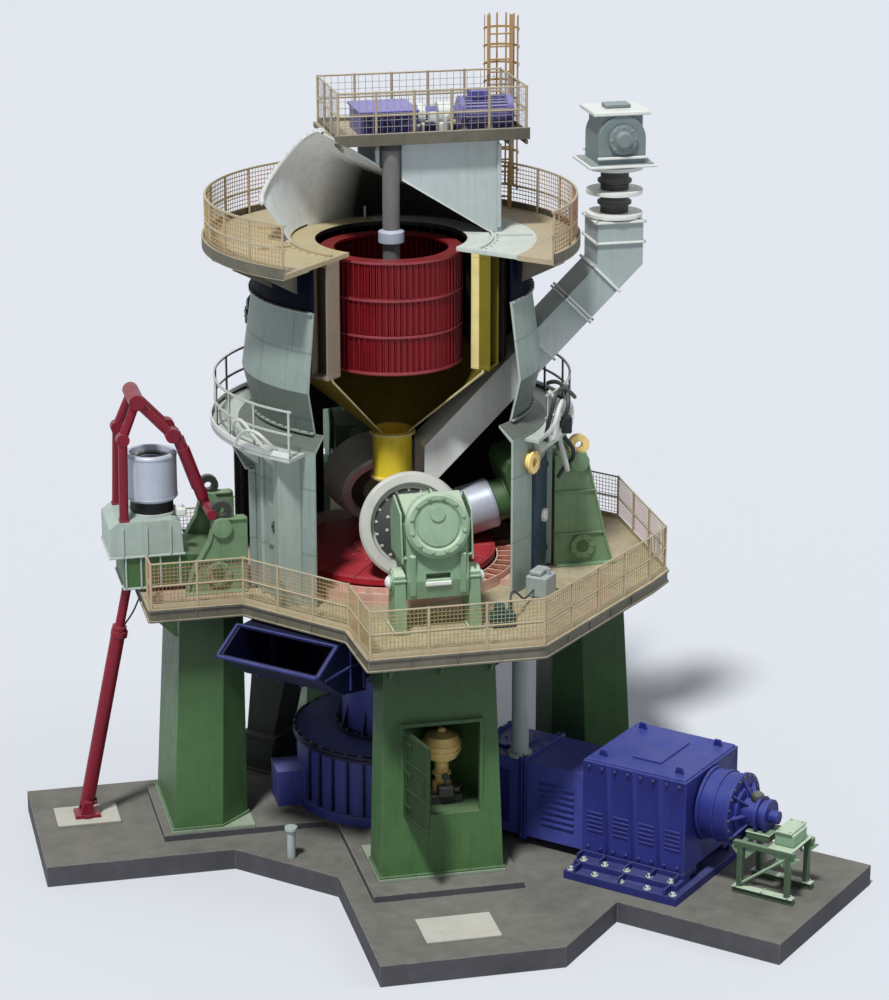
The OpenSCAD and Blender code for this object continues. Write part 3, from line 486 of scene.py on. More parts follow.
def height_colours(level, below, above, blend=0.02):
    """Two colours that meet at a level."""
    def colours(tree, place):
        share = spread(tree, part_of(tree, place, "Z"), level - blend, level + blend)
        return mix_colour(tree, share, below, above)
    return colours


def side_colours(axis, edge, before, after):
    """Two colours that meet at a place along one axis."""
    def colours(tree, place):
        share = spread(tree, part_of(tree, place, axis), edge - 0.01, edge + 0.01)
        return mix_colour(tree, share, before, after)
    return colours


def vane_colours(tree, place):
    """Vanes at the cut: on the right yellow at the inner edge and dark olive beyond it, the olive a
    painted shade, and tan-brown on the left; behind the cut they are near-black, painted shade inside the
    housing.
    """
    reach = spread(tree, radius_of(tree, place), 2.35, 2.37)
    right = mix_colour(tree, reach, srgb(232, 214, 146), srgb(116, 106, 20))
    side = spread(tree, part_of(tree, place, "X"), -0.1, 0.1)
    bared = mix_colour(tree, side, srgb(152, 138, 120), right)
    front = spread(tree, part_of(tree, place, "Y"), -1.44, -1.42)
    return mix_colour(tree, front, bared, srgb(50, 46, 26))


# %% The finishes of the record's slots
# Near-black for the faces inside the shells: painted shade
INSIDE_SHADE = srgb(14, 17, 15)
FINISHES = {}


def slot_paint(name, *values, **extras):
    """The finish of one of the record's slots, kept under the slot's own name."""
    FINISHES[name] = paint(name, *values, **extras)


# A sides tone paints faces that do not look up darker than the top: painted shade
slot_paint("plinth_concrete", srgb(98, 97, 91), 0.85, 0.34, 0.1, 0.5, 0.12, 0.04, bump=0.5,
           worn=(0.5, 0.5, 0.45, 1), sides=srgb(74, 74, 78))
slot_paint("sole_plate", srgb(136, 152, 130), 0.6, wear=0.5)
slot_paint("pale_pad", srgb(182, 181, 170), 0.8, 0.16, 0.05, 0.2, 0.1, sides=srgb(150, 150, 142))
slot_paint("green_paint", srgb(74, 108, 66), 0.5, 0.2, 0.2, 0.45, 0.12, worn=(0.24, 0.36, 0.22, 1))
slot_paint("light_green_paint", srgb(178, 198, 172), 0.5, 0.16, 0.14, 0.45, 0.14, worn=(0.58, 0.72, 0.58, 1),
           sides=srgb(124, 154, 124))
slot_paint("gold_paint", srgb(255, 222, 140), 0.28, 0.14, 0.08, 0.3, 0.1)
slot_paint("navy_paint", srgb(14, 17, 50), 0.5, 0.3, 0.15, 0.4, 0.02, worn=(0.1, 0.12, 0.28, 1))
slot_paint("blue_paint", srgb(46, 58, 138), 0.5, 0.2, 0.15, 0.4, 0.06, worn=(0.2, 0.25, 0.6, 1),
           sides=srgb(36, 42, 116))
slot_paint("dark_blue_paint", srgb(38, 44, 108), 0.5, 0.25, 0.1, 0.4, 0.1, worn=(0.2, 0.25, 0.55, 1))
slot_paint("dark_grey_paint", srgb(58, 60, 58), 0.55, wear=0.3)
slot_paint("tan_paint", srgb(166, 154, 124), 0.65, 0.4, 0.2, 0.35, 0.15, sides=srgb(102, 99, 86))
slot_paint("railing_paint", srgb(178, 164, 134), 0.5, 0.15, 0.1, 0.2, 0.15, 0.01)
slot_paint("table_red", srgb(150, 22, 34), 0.4, 0.25, 0.1, 0.3, 0.12, worn=(0.62, 0.3, 0.3, 1))
slot_paint("nozzle_steel", srgb(214, 172, 156), 0.5, 0.3, 0.1, 0.4, 0.15)
slot_paint("tyre_steel", srgb(204, 206, 198), 0.4, 0.12, 0.05, 0.3, 0.1, metallic=0.2)
slot_paint("small_tyre_steel", srgb(186, 194, 208), 0.4, 0.12, 0.08, 0.3, 0.1, metallic=0.15)
slot_paint("crimson_paint", srgb(122, 20, 40), 0.4, 0.2, 0.12, 0.35, 0.08, worn=(0.5, 0.12, 0.16, 1))
# The housing is painted near-black inside and darker on faces that look down, as painted shade, and paler on
# its cut faces, as a painted highlight
slot_paint("housing_grey", srgb(138, 153, 146), 0.5, 0.14, 0.16, 0.45, 0.15, seams=(1.55, 10), inside=INSIDE_SHADE,
           cut=srgb(176, 190, 180), grime=srgb(84, 94, 84))
# White paint takes the same near-black painted shade on faces inside the shells
slot_paint("white_paint", srgb(186, 194, 186), 0.5, 0.12, 0.14, 0.3, 0.15, inside=INSIDE_SHADE)
slot_paint("vane_yellow", vane_colours, 0.5, 0.2, 0.15, 0.3, 0.02)
slot_paint("rotor_red", rotor_colours, 0.4, 0.25, 0.1, 0.3, 0.05, 0.01, worn=(0.35, 0.06, 0.07, 1))
# The cone above 9.84 m is painted dark olive as painted shade over the yellow tube below it; its cut faces
# are paler, a painted highlight
slot_paint("cone_yellow", height_colours(9.84, srgb(240, 214, 60), srgb(112, 98, 30)), 0.45, 0.2, 0.2, 0.3,
           0.02, cut=srgb(206, 196, 150))
slot_paint("violet_paint", srgb(120, 114, 178), 0.45, 0.2, 0.1, 0.3, 0.06, sides=srgb(66, 60, 128))

# %% Finishes for single nodes
# These nodes share a slot with others in the record, but have a tone of their own. A sides tone here is
# painted shade on upright faces, and painted light on the drive housing.
# The hood is painted near-black on its inside towards the rotor, as painted shade, and paler on its cut
# faces, as a painted highlight
HOOD_GREY = paint("hood_grey", hood_colours, 0.5, 0.12, 0.14, 0.5, 0.1, cut=srgb(226, 232, 230))
PALE_GREY = paint("pale_grey", srgb(160, 172, 170), 0.5, 0.12, 0.14, 0.5, 0.1)
SUPPORT_WHITE = paint("support_white", srgb(186, 198, 198), 0.5, 0.12, 0.14, 0.4, 0.1)
# The open door leaf is painted a dark green: painted shade on the leaf
SHADED_DOOR_GREEN = paint("shaded_door_green", srgb(30, 54, 24), 0.55, 0.2, 0.2, 0.3, 0.08, worn=(0.2, 0.3, 0.18, 1))
ARM_GREY = paint("arm_grey", srgb(176, 190, 182), 0.5, 0.15, 0.12, 0.4, 0.12)
PARKED_ARM = paint("parked_arm", parked_arm_colours, 0.5, 0.2, 0.15, 0.4, 0.12)
# The columns are painted paler than the body: painted light on their lit faces
COLUMN_GREY = paint("column_grey", srgb(158, 172, 162), 0.5, 0.12, 0.14, 0.5, 0.12)
# Dark grey for the roller covers in the tyres' recesses: painted shade in the recess
RECESS_SHADE_GREY = paint("recess_shade_grey", srgb(58, 62, 60), 0.55, 0.2, 0.1, 0.4, 0.12)
CLEAN_WHITE = paint("clean_white", srgb(222, 226, 220), 0.4, 0.08, 0.05, 0.3, 0.06)
SEGMENT_RED = paint("segment_red", srgb(170, 34, 48), 0.45, 0.3, 0.1, 0.5, 0.06, worn=(0.7, 0.4, 0.4, 1))
MESH_TAN = paint("mesh_tan", mesh_colours, 0.6, 0.2, 0.1, 0.0, 0.1)
GUARD_GREEN = paint("guard_green", srgb(120, 150, 114), 0.5, 0.2, 0.2, 0.45, 0.12, worn=(0.3, 0.44, 0.28, 1))
# Near-black for the classifier band: painted shadow under the platform
BAND_BLACK = paint("band_black", srgb(8, 12, 26), 0.6, 0.3, 0.1, 0.2, 0.0, worn=(0.05, 0.06, 0.12, 1))
# The body is painted darker above 10.195 m, where its cone looks down: painted shade. It also takes the
# shells' near-black painted inside shade and the paler cut faces
BODY_GREY = paint("body_grey", height_colours(10.195, srgb(140, 155, 148), srgb(88, 96, 88)), 0.5, 0.14,
                  0.16, 0.45, 0.1,
                  seams=(1.55, 10), inside=INSIDE_SHADE, cut=srgb(184, 198, 188))
# The cover's faces towards the axis take the near-black painted shade
COVER_PALE = paint("cover_pale", side_colours("X", 0.0, srgb(180, 166, 128), srgb(200, 208, 200)), 0.5, 0.12,
                   0.14, 0.3, 0.1,
                   inside=INSIDE_SHADE)
GEARBOX_BLUE = paint("gearbox_blue", srgb(92, 98, 160), 0.5, 0.3, 0.15, 0.4, 0.04, sides=srgb(60, 66, 140))
STAND_GREEN = paint("stand_green", srgb(116, 142, 114), 0.5, 0.16, 0.14, 0.45, 0.1, sides=srgb(72, 94, 72))
LADDER_TAN = paint("ladder_tan", srgb(176, 142, 90), 0.5, 0.15, 0.1, 0.2, 0.1, 0.01)
FEEDER_GREY = paint("feeder_grey", srgb(136, 150, 150), 0.5, 0.12, 0.14, 0.5, 0.1, sides=srgb(118, 132, 132))
# The pedestals are painted darker towards their tops: painted shade under the deck
PEDESTAL_GREEN = paint("pedestal_green", height_colours(4.8, srgb(70, 104, 62), srgb(48, 70, 44), 1.4), 0.5,
                       0.2, 0.2, 0.45, 0.12,
                       worn=(0.24, 0.36, 0.22, 1))
PIPE_WHITE = paint("pipe_white", srgb(206, 210, 204), 0.45, 0.15, 0.1, 0.2, 0.08, 0.01)
PIPE_BLACK = paint("pipe_black", srgb(40, 44, 44), 0.5, 0.15, 0.1, 0.3, 0.1, 0.01)
TEAL = paint("teal", srgb(18, 66, 66), 0.5, 0.25, 0.1, 0.3, 0.06, worn=(0.1, 0.3, 0.3, 1))
# Dark blue for the panel on the wall right of the cut: painted shade
SHADOW_PANEL_BLUE = paint("shadow_panel_blue", srgb(16, 42, 62), 0.5, 0.25, 0.15, 0.4, 0.05, worn=(0.14, 0.26, 0.36, 1))
DRIVE_VIOLET = paint("drive_violet", side_colours("X", 1.745, srgb(110, 104, 160), srgb(150, 144, 190)),
                     0.45, 0.2, 0.1, 0.3,
                     0.06)
BAND_ROSE = paint("band_rose", srgb(150, 60, 68), 0.45, 0.2, 0.1, 0.3, 0.05, 0.01)
COLLAR_YELLOW = paint("collar_yellow", srgb(222, 208, 120), 0.45, 0.2, 0.2, 0.3, 0.02)
GEAR_VIOLET = paint("gear_violet", srgb(132, 126, 186), 0.45, 0.2, 0.1, 0.3, 0.06, sides=srgb(84, 78, 150))
GRILLE_DARK = paint("grille_dark", srgb(34, 30, 70), 0.55, 0.2, 0.1, 0.2, 0.02)
# The drive housing's upright faces are painted lighter than its top: painted light against the deck's shadow
DRIVE_BLUE = paint("drive_blue", srgb(62, 68, 144), 0.5, 0.2, 0.15, 0.4, 0.04, worn=(0.2, 0.25, 0.6, 1),
                   sides=srgb(68, 77, 158))
# The chute is painted near-white below 11.6 m: painted light where the shell shades it
CHUTE_GREY = paint("chute_grey", height_colours(11.6, srgb(246, 250, 246), srgb(162, 174, 172), 1.0), 0.5,
                   0.12, 0.14, 0.5, 0.1)
MESH_GREY = paint("mesh_grey", srgb(186, 182, 180), 0.55, 0.2, 0.1, 0.0, 0.05)
# %% Which node has a finish of its own
# The band is painted near-black as painted shadow under the platform, and is matt, so that the sun draws no
# highlight on it
BAND_BLACK.node_tree.nodes["Principled BSDF"].inputs["Specular IOR Level"].default_value = 0.04
OWN_FINISH = {"outlet_hood": HOOD_GREY, "drive_support": SUPPORT_WHITE, "pedestal_door": SHADED_DOOR_GREEN,
              "feed_chute": CHUTE_GREY, "rotary_feeder": FEEDER_GREY, "body_columns": COLUMN_GREY,
              "swing_arm_left": PARKED_ARM, "mill_body": BODY_GREY, "classifier_band": BAND_BLACK,
              "classifier_cover": COVER_PALE, "gearbox": GEARBOX_BLUE, "barring_stand": STAND_GREEN,
              "access_ladder": LADDER_TAN, "guard_plates_right": GUARD_GREEN,
              "guard_plates_left": GUARD_GREEN,
              "pedestal_front": PEDESTAL_GREEN, "pedestal_left": PEDESTAL_GREEN,
              "pedestal_right": PEDESTAL_GREEN,
              "pedestal_back": PEDESTAL_GREEN, "classifier_drive": DRIVE_VIOLET, "drive_housing": DRIVE_BLUE}


def dress_frame():
    """Gives every node of the frame the finish that the record names for it."""
    for part in frame["record"]["subparts"]:
        piece = nodes[part["node"]]
        finish = OWN_FINISH.get(part["node"]) or FINISHES[part["material_slot"]]
        piece.data.materials.clear()
        piece.data.materials.append(finish)


dress_frame()
print("slots", len(FINISHES), "nodes with a finish of their own", len(OWN_FINISH))


# %% [markdown]
# ## How the small pieces are modelled
# The castings come from the frame, and the lesson adds what bolts on to them. Each such
# piece starts from a primitive: a cube is set between two corners and its edges are
# broken, a cylinder is laid between two points, a point is drawn out to a profile and
# spun as on a lathe, or a flat outline is filled and drawn up to its thickness. What
# repeats is modelled once, copied to its places and joined into one piece.

# %% Levels taken from the frame
def low(node):
    """The lowest X, Y and Z of one of the frame's nodes."""
    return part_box(node)[0]


def high(node):
    """The highest X, Y and Z of one of the frame's nodes."""
    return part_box(node)[1]


WALK_KERB, TOP_UPSTAND = 0.08, 0.15
DECK = high("service_deck")[2]
BODY_R = high("mill_body")[0]
WALK = high("ring_walkway")[2] - WALK_KERB
RING = high("classifier_cover")[2]
TOP = high("top_platform")[2] - TOP_UPSTAND
print("deck", round(DECK, 3), "walkway", round(WALK, 3), "ring platform", round(RING, 3), "top",
      round(TOP, 3))


# %% Select, modify and place
def deselect():
    """Lets go of everything, since an operator acts on all that is selected."""
    bpy.ops.object.select_all(action="DESELECT")


def modify(kind, **values):
    """Adds a modifier to the active piece, sets it and applies it."""
    bpy.ops.object.modifier_add(type=kind)
    modifier = bpy.context.object.modifiers[-1]
    for label, value in values.items():
        setattr(modifier, label, value)
    bpy.ops.object.modifier_apply(modifier=modifier.name)


def at(x=0.0, y=0.0, z=0.0):
    """A move to a place."""
    return Matrix.Translation((x, y, z))


def turned_by(degrees, axis="Z"):
    """A turn about one axis."""
    return Matrix.Rotation(math.radians(degrees), 4, axis)


def along(point, direction):
    """A frame at a point whose Z looks in the given direction."""
    return at(*point) @ Vector(direction).to_track_quat("Z", "Y").to_matrix().to_4x4()


def moved(pieces, matrix):
    """Places one piece or a list of them, with the place kept in the mesh."""
    for piece in pieces if isinstance(pieces, list) else [pieces]:
        piece.data.transform(matrix)
    return pieces


# %% Blocks and rods
def block(lowest, highest, bevel=0.012):
    """A block between two corners, with its edges broken."""
    deselect()
    size = [b - a for a, b in zip(lowest, highest)]
    centre = [(a + b) / 2 for a, b in zip(lowest, highest)]
    bpy.ops.mesh.primitive_cube_add(size=1, location=centre, scale=size)
    bpy.ops.object.transform_apply()
    if bevel:
        modify("BEVEL", width=min(bevel, 0.3 * min(size)), segments=1)
    return bpy.context.object


def rod(start, end, radius, sides=12, end_radius=None):
    """A round bar or cone between two points."""
    deselect()
    start, end = Vector(start), Vector(end)
    run = end - start
    bpy.ops.mesh.primitive_cone_add(
        vertices=sides, radius1=radius, radius2=radius if end_radius is None else end_radius,
        depth=run.length, location=(start + end) / 2, rotation=run.to_track_quat("Z", "Y").to_euler())
    bpy.ops.object.transform_apply()
    return bpy.context.object


def strip(start, end, low_z, high_z, thickness, bevel=0.0):
    """An upright plate that stands along a line on plan."""
    run = Vector(end) - Vector(start)
    piece = block((0, -thickness / 2, low_z), (run.length, thickness / 2, high_z), bevel)
    return moved(piece, at(start[0], start[1]) @ turned_by(math.degrees(math.atan2(run.y, run.x))))


# %% Turned pieces and cut plates
def turned(profile, steps=48, start=0.0, span=360.0):
    """Draws one point out to a profile of radius and height and spins it about the upright axis."""
    deselect()
    bpy.ops.mesh.primitive_plane_add(size=1)
    bpy.ops.object.mode_set(mode="EDIT")
    bpy.ops.mesh.select_mode(type="VERT")
    bpy.ops.mesh.select_all(action="SELECT")
    bpy.ops.mesh.merge(type="CENTER")
    bpy.ops.transform.translate(value=(profile[0][0], 0, profile[0][1]))
    for here, there in zip(profile, profile[1:]):
        bpy.ops.mesh.extrude_vertices_move(
            TRANSFORM_OT_translate={"value": (there[0] - here[0], 0, there[1] - here[1])})
    bpy.ops.mesh.select_all(action="SELECT")
    bpy.ops.mesh.spin(steps=steps, angle=math.radians(span), center=(0, 0, 0), axis=(0, 0, -1))
    bpy.ops.mesh.select_all(action="SELECT")
    bpy.ops.mesh.remove_doubles(threshold=0.0001)
    if span < 360:
        bpy.ops.mesh.fill_holes(sides=0)
    bpy.ops.mesh.select_all(action="SELECT")
    bpy.ops.mesh.normals_make_consistent(inside=False)
    bpy.ops.object.mode_set(mode="OBJECT")
    return moved(bpy.context.object, turned_by(start))


def ring(inner, outer, low_z, high_z, steps=48, start=0.0, span=360.0):
    """A flat ring of rectangular section."""
    return turned([(inner, low_z), (outer, low_z), (outer, high_z), (inner, high_z), (inner, low_z)],
                  steps, start, span)


def plate(outline, thickness, bevel=0.0):
    """Fills an outline drawn in X and Y and draws it up to its thickness."""
    deselect()
    bpy.ops.mesh.primitive_circle_add(vertices=len(outline), radius=1, fill_type="NGON")
    piece = bpy.context.object
    for vertex, point in zip(piece.data.vertices, outline):
        vertex.co = (point[0], point[1], 0)
    bpy.ops.object.mode_set(mode="EDIT")
    bpy.ops.mesh.select_all(action="SELECT")
    bpy.ops.mesh.extrude_region_move(TRANSFORM_OT_translate={"value": (0, 0, thickness)})
    bpy.ops.mesh.select_all(action="SELECT")
    bpy.ops.mesh.normals_make_consistent(inside=False)
    bpy.ops.object.mode_set(mode="OBJECT")
    if bevel:
        modify("BEVEL", width=bevel, segments=1)
    return piece


def upright_plate(outline, y_low, y_high, bevel=0.0):
    """A plate cut to an outline in X and Z, standing between two places along Y."""
    return moved(plate(outline, y_high - y_low, bevel), at(0, y_high) @ turned_by(90, "X"))


def pipe(points, radius, sides=8, steps=4):
    """A bent pipe along at most five points; a new path has five, so the last one is repeated."""
    deselect()
    bpy.ops.curve.primitive_nurbs_path_add()
    line = bpy.context.object
    spline = line.data.splines[0]
    for point, place in zip(spline.points, points + points[-1:] * len(spline.points)):
        point.co = (*place, 1)
    spline.order_u = 3
    spline.use_endpoint_u = True
    line.data.resolution_u = steps
    line.data.bevel_depth = radius
    line.data.bevel_resolution = max(0, sides // 4 - 1)
    line.data.use_fill_caps = True
    bpy.ops.object.convert(target="MESH")
    return bpy.context.object


# %% Copies, bolts and wire mesh
def joined(pieces):
    """Joins pieces into the first of them."""
    deselect()
    for piece in pieces:
        piece.select_set(True)
    bpy.context.view_layer.objects.active = pieces[0]
    if len(pieces) > 1:
        bpy.ops.object.join()
    return pieces[0]


def copies(piece, matrices):
    """Copies a piece to each place; the first one is used up as the pattern."""
    made = []
    for matrix in matrices:
        twin = piece.copy()
        twin.data = piece.data.copy()
        twin.data.transform(matrix)
        bpy.context.scene.collection.objects.link(twin)
        made.append(twin)
    bpy.data.objects.remove(piece, do_unlink=True)
    return joined(made)


def around(count, start=0.0, span=360.0, ends=False):
    """Turns about the upright axis, evenly spread over a span."""
    gaps = count - 1 if ends else count
    return [turned_by(start + span * index / gaps) for index in range(count)]


def bolt(radius):
    """A hexagon head on a washer, looking up."""
    return joined([rod((0, 0, 0), (0, 0, 0.3 * radius), 1.5 * radius, 12),
                   rod((0, 0, 0.3 * radius), (0, 0, 1.2 * radius), radius, 6, 0.92 * radius)])


def bolts(radius, places):
    """The same bolt at each place, joined into one piece."""
    return copies(bolt(radius), places)


def bolt_ring(radius, reach, z, count, start=0.0, span=360.0, ends=False):
    """Bolts on a circle about the upright axis, looking up."""
    return bolts(radius, [turn @ at(reach, 0, z) for turn in around(count, start, span, ends)])


def wire_panel(start, end, low_z, high_z, gap=0.09, wire=0.007):
    """Welded wire mesh along a line on plan: one upright and one level wire, each set in an array."""
    run = Vector(end) - Vector(start)
    count = max(2, round(run.length / gap))
    rows = max(2, round((high_z - low_z) / gap))
    step = run / count
    upright = rod((start[0], start[1], low_z), (start[0], start[1], high_z), wire, 4)
    modify("ARRAY", count=count, use_relative_offset=False, use_constant_offset=True,
           constant_offset_displace=(step.x, step.y, 0))
    level = rod((start[0], start[1], low_z), (end[0], end[1], low_z), wire, 4)
    modify("ARRAY", count=rows, use_relative_offset=False, use_constant_offset=True,
           constant_offset_displace=(0, 0, (high_z - low_z) / rows))
    return joined([upright, level])


def wire_ring(radius, low_z, high_z, start, span, gap=0.09, wire=0.007):
    """The same mesh bent round a circle."""
    length = math.radians(span) * radius
    upright = copies(rod((radius, 0, low_z), (radius, 0, high_z), wire, 4),
                     around(round(length / gap), start, span))
    hoop = ring(radius - wire, radius + wire, low_z, low_z + 2 * wire, 60, start, span)
    deselect()
    bpy.context.view_layer.objects.active = hoop
    hoop.select_set(True)
    rows = round((high_z - low_z) / gap)
    modify("ARRAY", count=rows, use_relative_offset=False, use_constant_offset=True,
           constant_offset_displace=(0, 0, (high_z - low_z) / rows))
    return joined([upright, hoop])


# %% Finish a piece
made_pieces = []


def settle(pieces, name, slot, body="frame", finish=None, smooth=35, replaces=()):
    """Joins, names, smooths and paints a piece, and lets it ride on its body."""
    piece = joined(pieces if isinstance(pieces, list) else [pieces])
    piece.name = name
    piece.data.name = name
    piece.data.materials.clear()
    piece.data.materials.append(finish or FINISHES[slot])
    bpy.ops.object.shade_smooth_by_angle(angle=math.radians(smooth))
    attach(piece, body)
    if replaces:
        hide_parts(*replaces)
    made_pieces.append(name)
    print("made", name, "with", len(piece.data.polygons), "faces")
    return piece


def angle_apart(first, second):
    """How many degrees lie between two compass directions, the short way round."""
    return abs((first - second + 180) % 360 - 180)


def clear_turns(angles, kept, gap):
    """Turns to those angles that stand more than a gap away from every kept direction."""
    return [turned_by(angle) for angle in angles if min(angle_apart(angle, one) for one in kept) > gap]


# %% [markdown]
# ## Foundation and pedestals
# Four wedge-shaped pedestals carry the deck. Each is welded up from plate, so it has a
# base flange that is bolted down through its sole plate, and a head flange under the
# deck. Both are the pedestal's own outline, grown a little and drawn up.

# %% Pedestal flanges
PED_FACES = {"front": (270, -low("pedestal_front")[1]), "left": (180, -low("pedestal_left")[0]),
             "right": (0, high("pedestal_right")[0]), "back": (90, high("pedestal_back")[1])}
FOOT_HALF, INNER_HALF, HEAD_SIDE = 1.43, 0.75, 1.33
FOOT_OUT, FOOT_THICK, HEAD_THICK, SEAT = 0.05, 0.05, 0.07, 0.001
PED_DEPTH, PED_STRAIGHT, PED_LEAN = 1.85, 1.15, 0.3
SOLE = high("sole_plates")[2]
DECK_UNDER = low("service_deck")[2]


def wedge(face, half, inner, grow):
    """The pedestal's outline on plan, grown on every side."""
    back = face - PED_DEPTH - grow
    bend = face - PED_STRAIGHT
    return [(back, -inner - grow), (bend, -half - grow), (face + grow, -half - grow),
            (face + grow, half + grow), (bend, half + grow), (back, inner + grow)]


def pedestal_flanges(azimuth, face):
    """A foot flange with its studs, and a head flange under the deck."""
    foot = moved(plate(wedge(face, FOOT_HALF, INNER_HALF, FOOT_OUT), FOOT_THICK, 0.008), at(z=SOLE + SEAT))
    head_face = face - PED_LEAN
    half_head = [(head_face - 1.5, 0.8), (head_face - 0.9, HEAD_SIDE), (head_face + 0.06, HEAD_SIDE)]
    outline = [(x, -y) for x, y in half_head] + half_head[::-1]
    head = moved(plate(outline, HEAD_THICK, 0.008), at(z=DECK_UNDER - HEAD_THICK - SEAT / 2))
    spots = [(face + 0.028, y) for y in (-1.3, -0.65, 0, 0.65, 1.3)]
    spots += [(face - x, side * 1.458) for x in (0.25, 0.85) for side in (-1, 1)]
    studs = bolts(0.02, [at(x, y, SOLE + FOOT_THICK) for x, y in spots])
    return moved([foot, head, studs], turned_by(azimuth))


for side, (azimuth, face) in PED_FACES.items():
    settle(pedestal_flanges(azimuth, face), "pedestal_flanges_" + side, "green_paint")
print("pedestals flanged", len(PED_FACES))

# %% [markdown]
# The doorway in the front pedestal lets a fitter reach the accumulator. Its leaf is a
# flat plate with a welded rim and stiffeners on the outside, three hinge knuckles and a
# lever handle. The leaf is drawn shut, at its hinge, and then swung open with its body.

# %% Pedestal door
DOOR_OPEN = 76
HINGE_X, HINGE_Y = -0.84, -5.1066
DOOR_LOW, DOOR_HIGH, DOOR_WIDE = low("pedestal_door")[2], high("pedestal_door")[2], 1.19
RIM_WIDE, RIM_PROUD = 0.07, 0.018


def door_fittings():
    """The rim and stiffeners of the leaf, its hinge knuckles and its handle."""
    face = -0.025
    left, right = 0.06, DOOR_WIDE - 0.08
    rim = [block((x, face - RIM_PROUD, DOOR_LOW + 0.02), (x + RIM_WIDE, face, DOOR_HIGH - 0.02), 0.005)
           for x in (left, right)]
    for z in (DOOR_LOW + 0.02, DOOR_LOW + 0.7, DOOR_LOW + 1.38, DOOR_HIGH - 0.09):
        rim.append(block((left + RIM_WIDE, face - RIM_PROUD, z), (right, face, z + RIM_WIDE), 0.005))
    for z in (DOOR_LOW + 0.25, DOOR_LOW + 1.05, DOOR_HIGH - 0.35):
        rim.append(rod((0, 0, z), (0, 0, z + 0.16), 0.046, 20))
        rim.append(block((0.03, face - 0.03, z + 0.03), (0.36, face, z + 0.13), 0.006))
    rim.append(pipe([(1.0, face - 0.01, 3.1), (1.0, face - 0.08, 3.12), (1.0, face - 0.08, 3.3),
                     (1.0, face - 0.08, 3.48), (1.0, face - 0.01, 3.5)], 0.014))
    return rim


door_place = at(HINGE_X, HINGE_Y) @ turned_by(-DOOR_OPEN)
settle(moved(door_fittings(), door_place), "door_fittings", "green_paint", "door", SHADED_DOOR_GREEN)

# %% [markdown]
# The accumulator behind the door is a gas bladder in a gold-painted steel shell. Clamp
# bands hold it, and a black valve block with a gauge and two pipes stands at its foot.

# %% Accumulator fittings
ACC_X, ACC_Y = 0.25, -4.0
acc_low = low("spring_accumulator")[2]
bands = [turned([(0.43, z), (0.455, z), (0.455, z + 0.05), (0.43, z + 0.05), (0.43, z)], 40)
         for z in (acc_low + 1.02, acc_low + 1.16)]
bands.append(turned([(0.16, acc_low + 0.42), (0.215, acc_low + 0.42), (0.215, acc_low + 0.47),
                     (0.16, acc_low + 0.47)], 32))
bands.append(turned([(0, acc_low + 1.46), (0.1, acc_low + 1.46), (0.1, acc_low + 1.52),
                     (0.06, acc_low + 1.56), (0, acc_low + 1.56)], 24))
settle(moved(bands, at(ACC_X, ACC_Y)), "accumulator_bands", "gold_paint")
valve = [block((-0.17, -0.5, acc_low + 0.02), (0.17, -0.235, acc_low + 0.26), 0.02),
         rod((0.22, -0.38, acc_low + 0.14), (0.32, -0.38, acc_low + 0.14), 0.05, 16),
         rod((0, -0.4, acc_low + 0.26), (0, -0.4, acc_low + 0.42), 0.03, 10),
         rod((0, -0.36, acc_low + 0.48), (0, -0.44, acc_low + 0.48), 0.09, 24),
         pipe([(0.24, -0.3, acc_low + 0.1), (0.42, -0.2, acc_low + 0.1), (0.48, 0.1, acc_low + 0.1),
               (0.48, 0.3, acc_low + 0.05)], 0.025),
         pipe([(-0.24, -0.3, acc_low + 0.1), (-0.42, -0.2, acc_low + 0.1), (-0.46, 0.1, acc_low + 0.06),
               (-0.46, 0.3, acc_low + 0.04)], 0.025)]
settle(moved(valve, at(ACC_X, ACC_Y)), "accumulator_valve", "dark_grey_paint")
print("door and accumulator fitted")


# %% [markdown]
# ## Gearbox, drive housing and motor
# A bevel gearbox turns the drive through a right angle under the table. Its round casing
# is stiffened with upright ribs between two bolted flanges. The motor stands on the
# corner of the foundation, on a two-tier base whose holding-down bolts are left bright.

# %% Gearbox ribs
GEAR_TOP = 2.45
GEAR_R = 2.35
rib_turns = clear_turns(range(0, 360, 10), (0, 90, 180, 270, 315), 14)
gear = [copies(upright_plate([(GEAR_R - 0.02, 0.93), (2.44, 0.93), (2.44, 1.1), (2.4, 2.28),
                              (GEAR_R - 0.02, 2.28)],
                             -0.025, 0.025), rib_turns),
        ring(GEAR_R - 0.01, GEAR_R + 0.09, GEAR_TOP - 0.16, GEAR_TOP - 0.09, 96),
        ring(GEAR_R - 0.01, GEAR_R + 0.09, GEAR_TOP - 0.07, GEAR_TOP, 96),
        ring(1.25, 1.42, GEAR_TOP, GEAR_TOP + 0.09, 64),
        copies(upright_plate([(1.24, GEAR_TOP + 0.09), (1.42, GEAR_TOP + 0.09), (1.24, GEAR_TOP + 0.7)],
                             -0.02, 0.02),
               around(12, 15))]
settle(gear, "gearbox_ribs", "navy_paint")
settle([bolt_ring(0.035, GEAR_R + 0.04, GEAR_TOP, 40, 4.5), bolt_ring(0.03, 1.36, GEAR_TOP + 0.09, 24, 7.5)],
       "gearbox_bolts", "dark_grey_paint")

# %% Drive housing
MOTOR_TURN = turned_by(-45)
DRIVE_HALF, DRIVE_LOW, DRIVE_TOP = 0.86, 0.75, 2.65
MOTOR_NEAR, MOTOR_FAR, MOTOR_HALF, MOTOR_LOW, MOTOR_TOP = 5.95, 8.6, 1.3, 1.0, 3.27


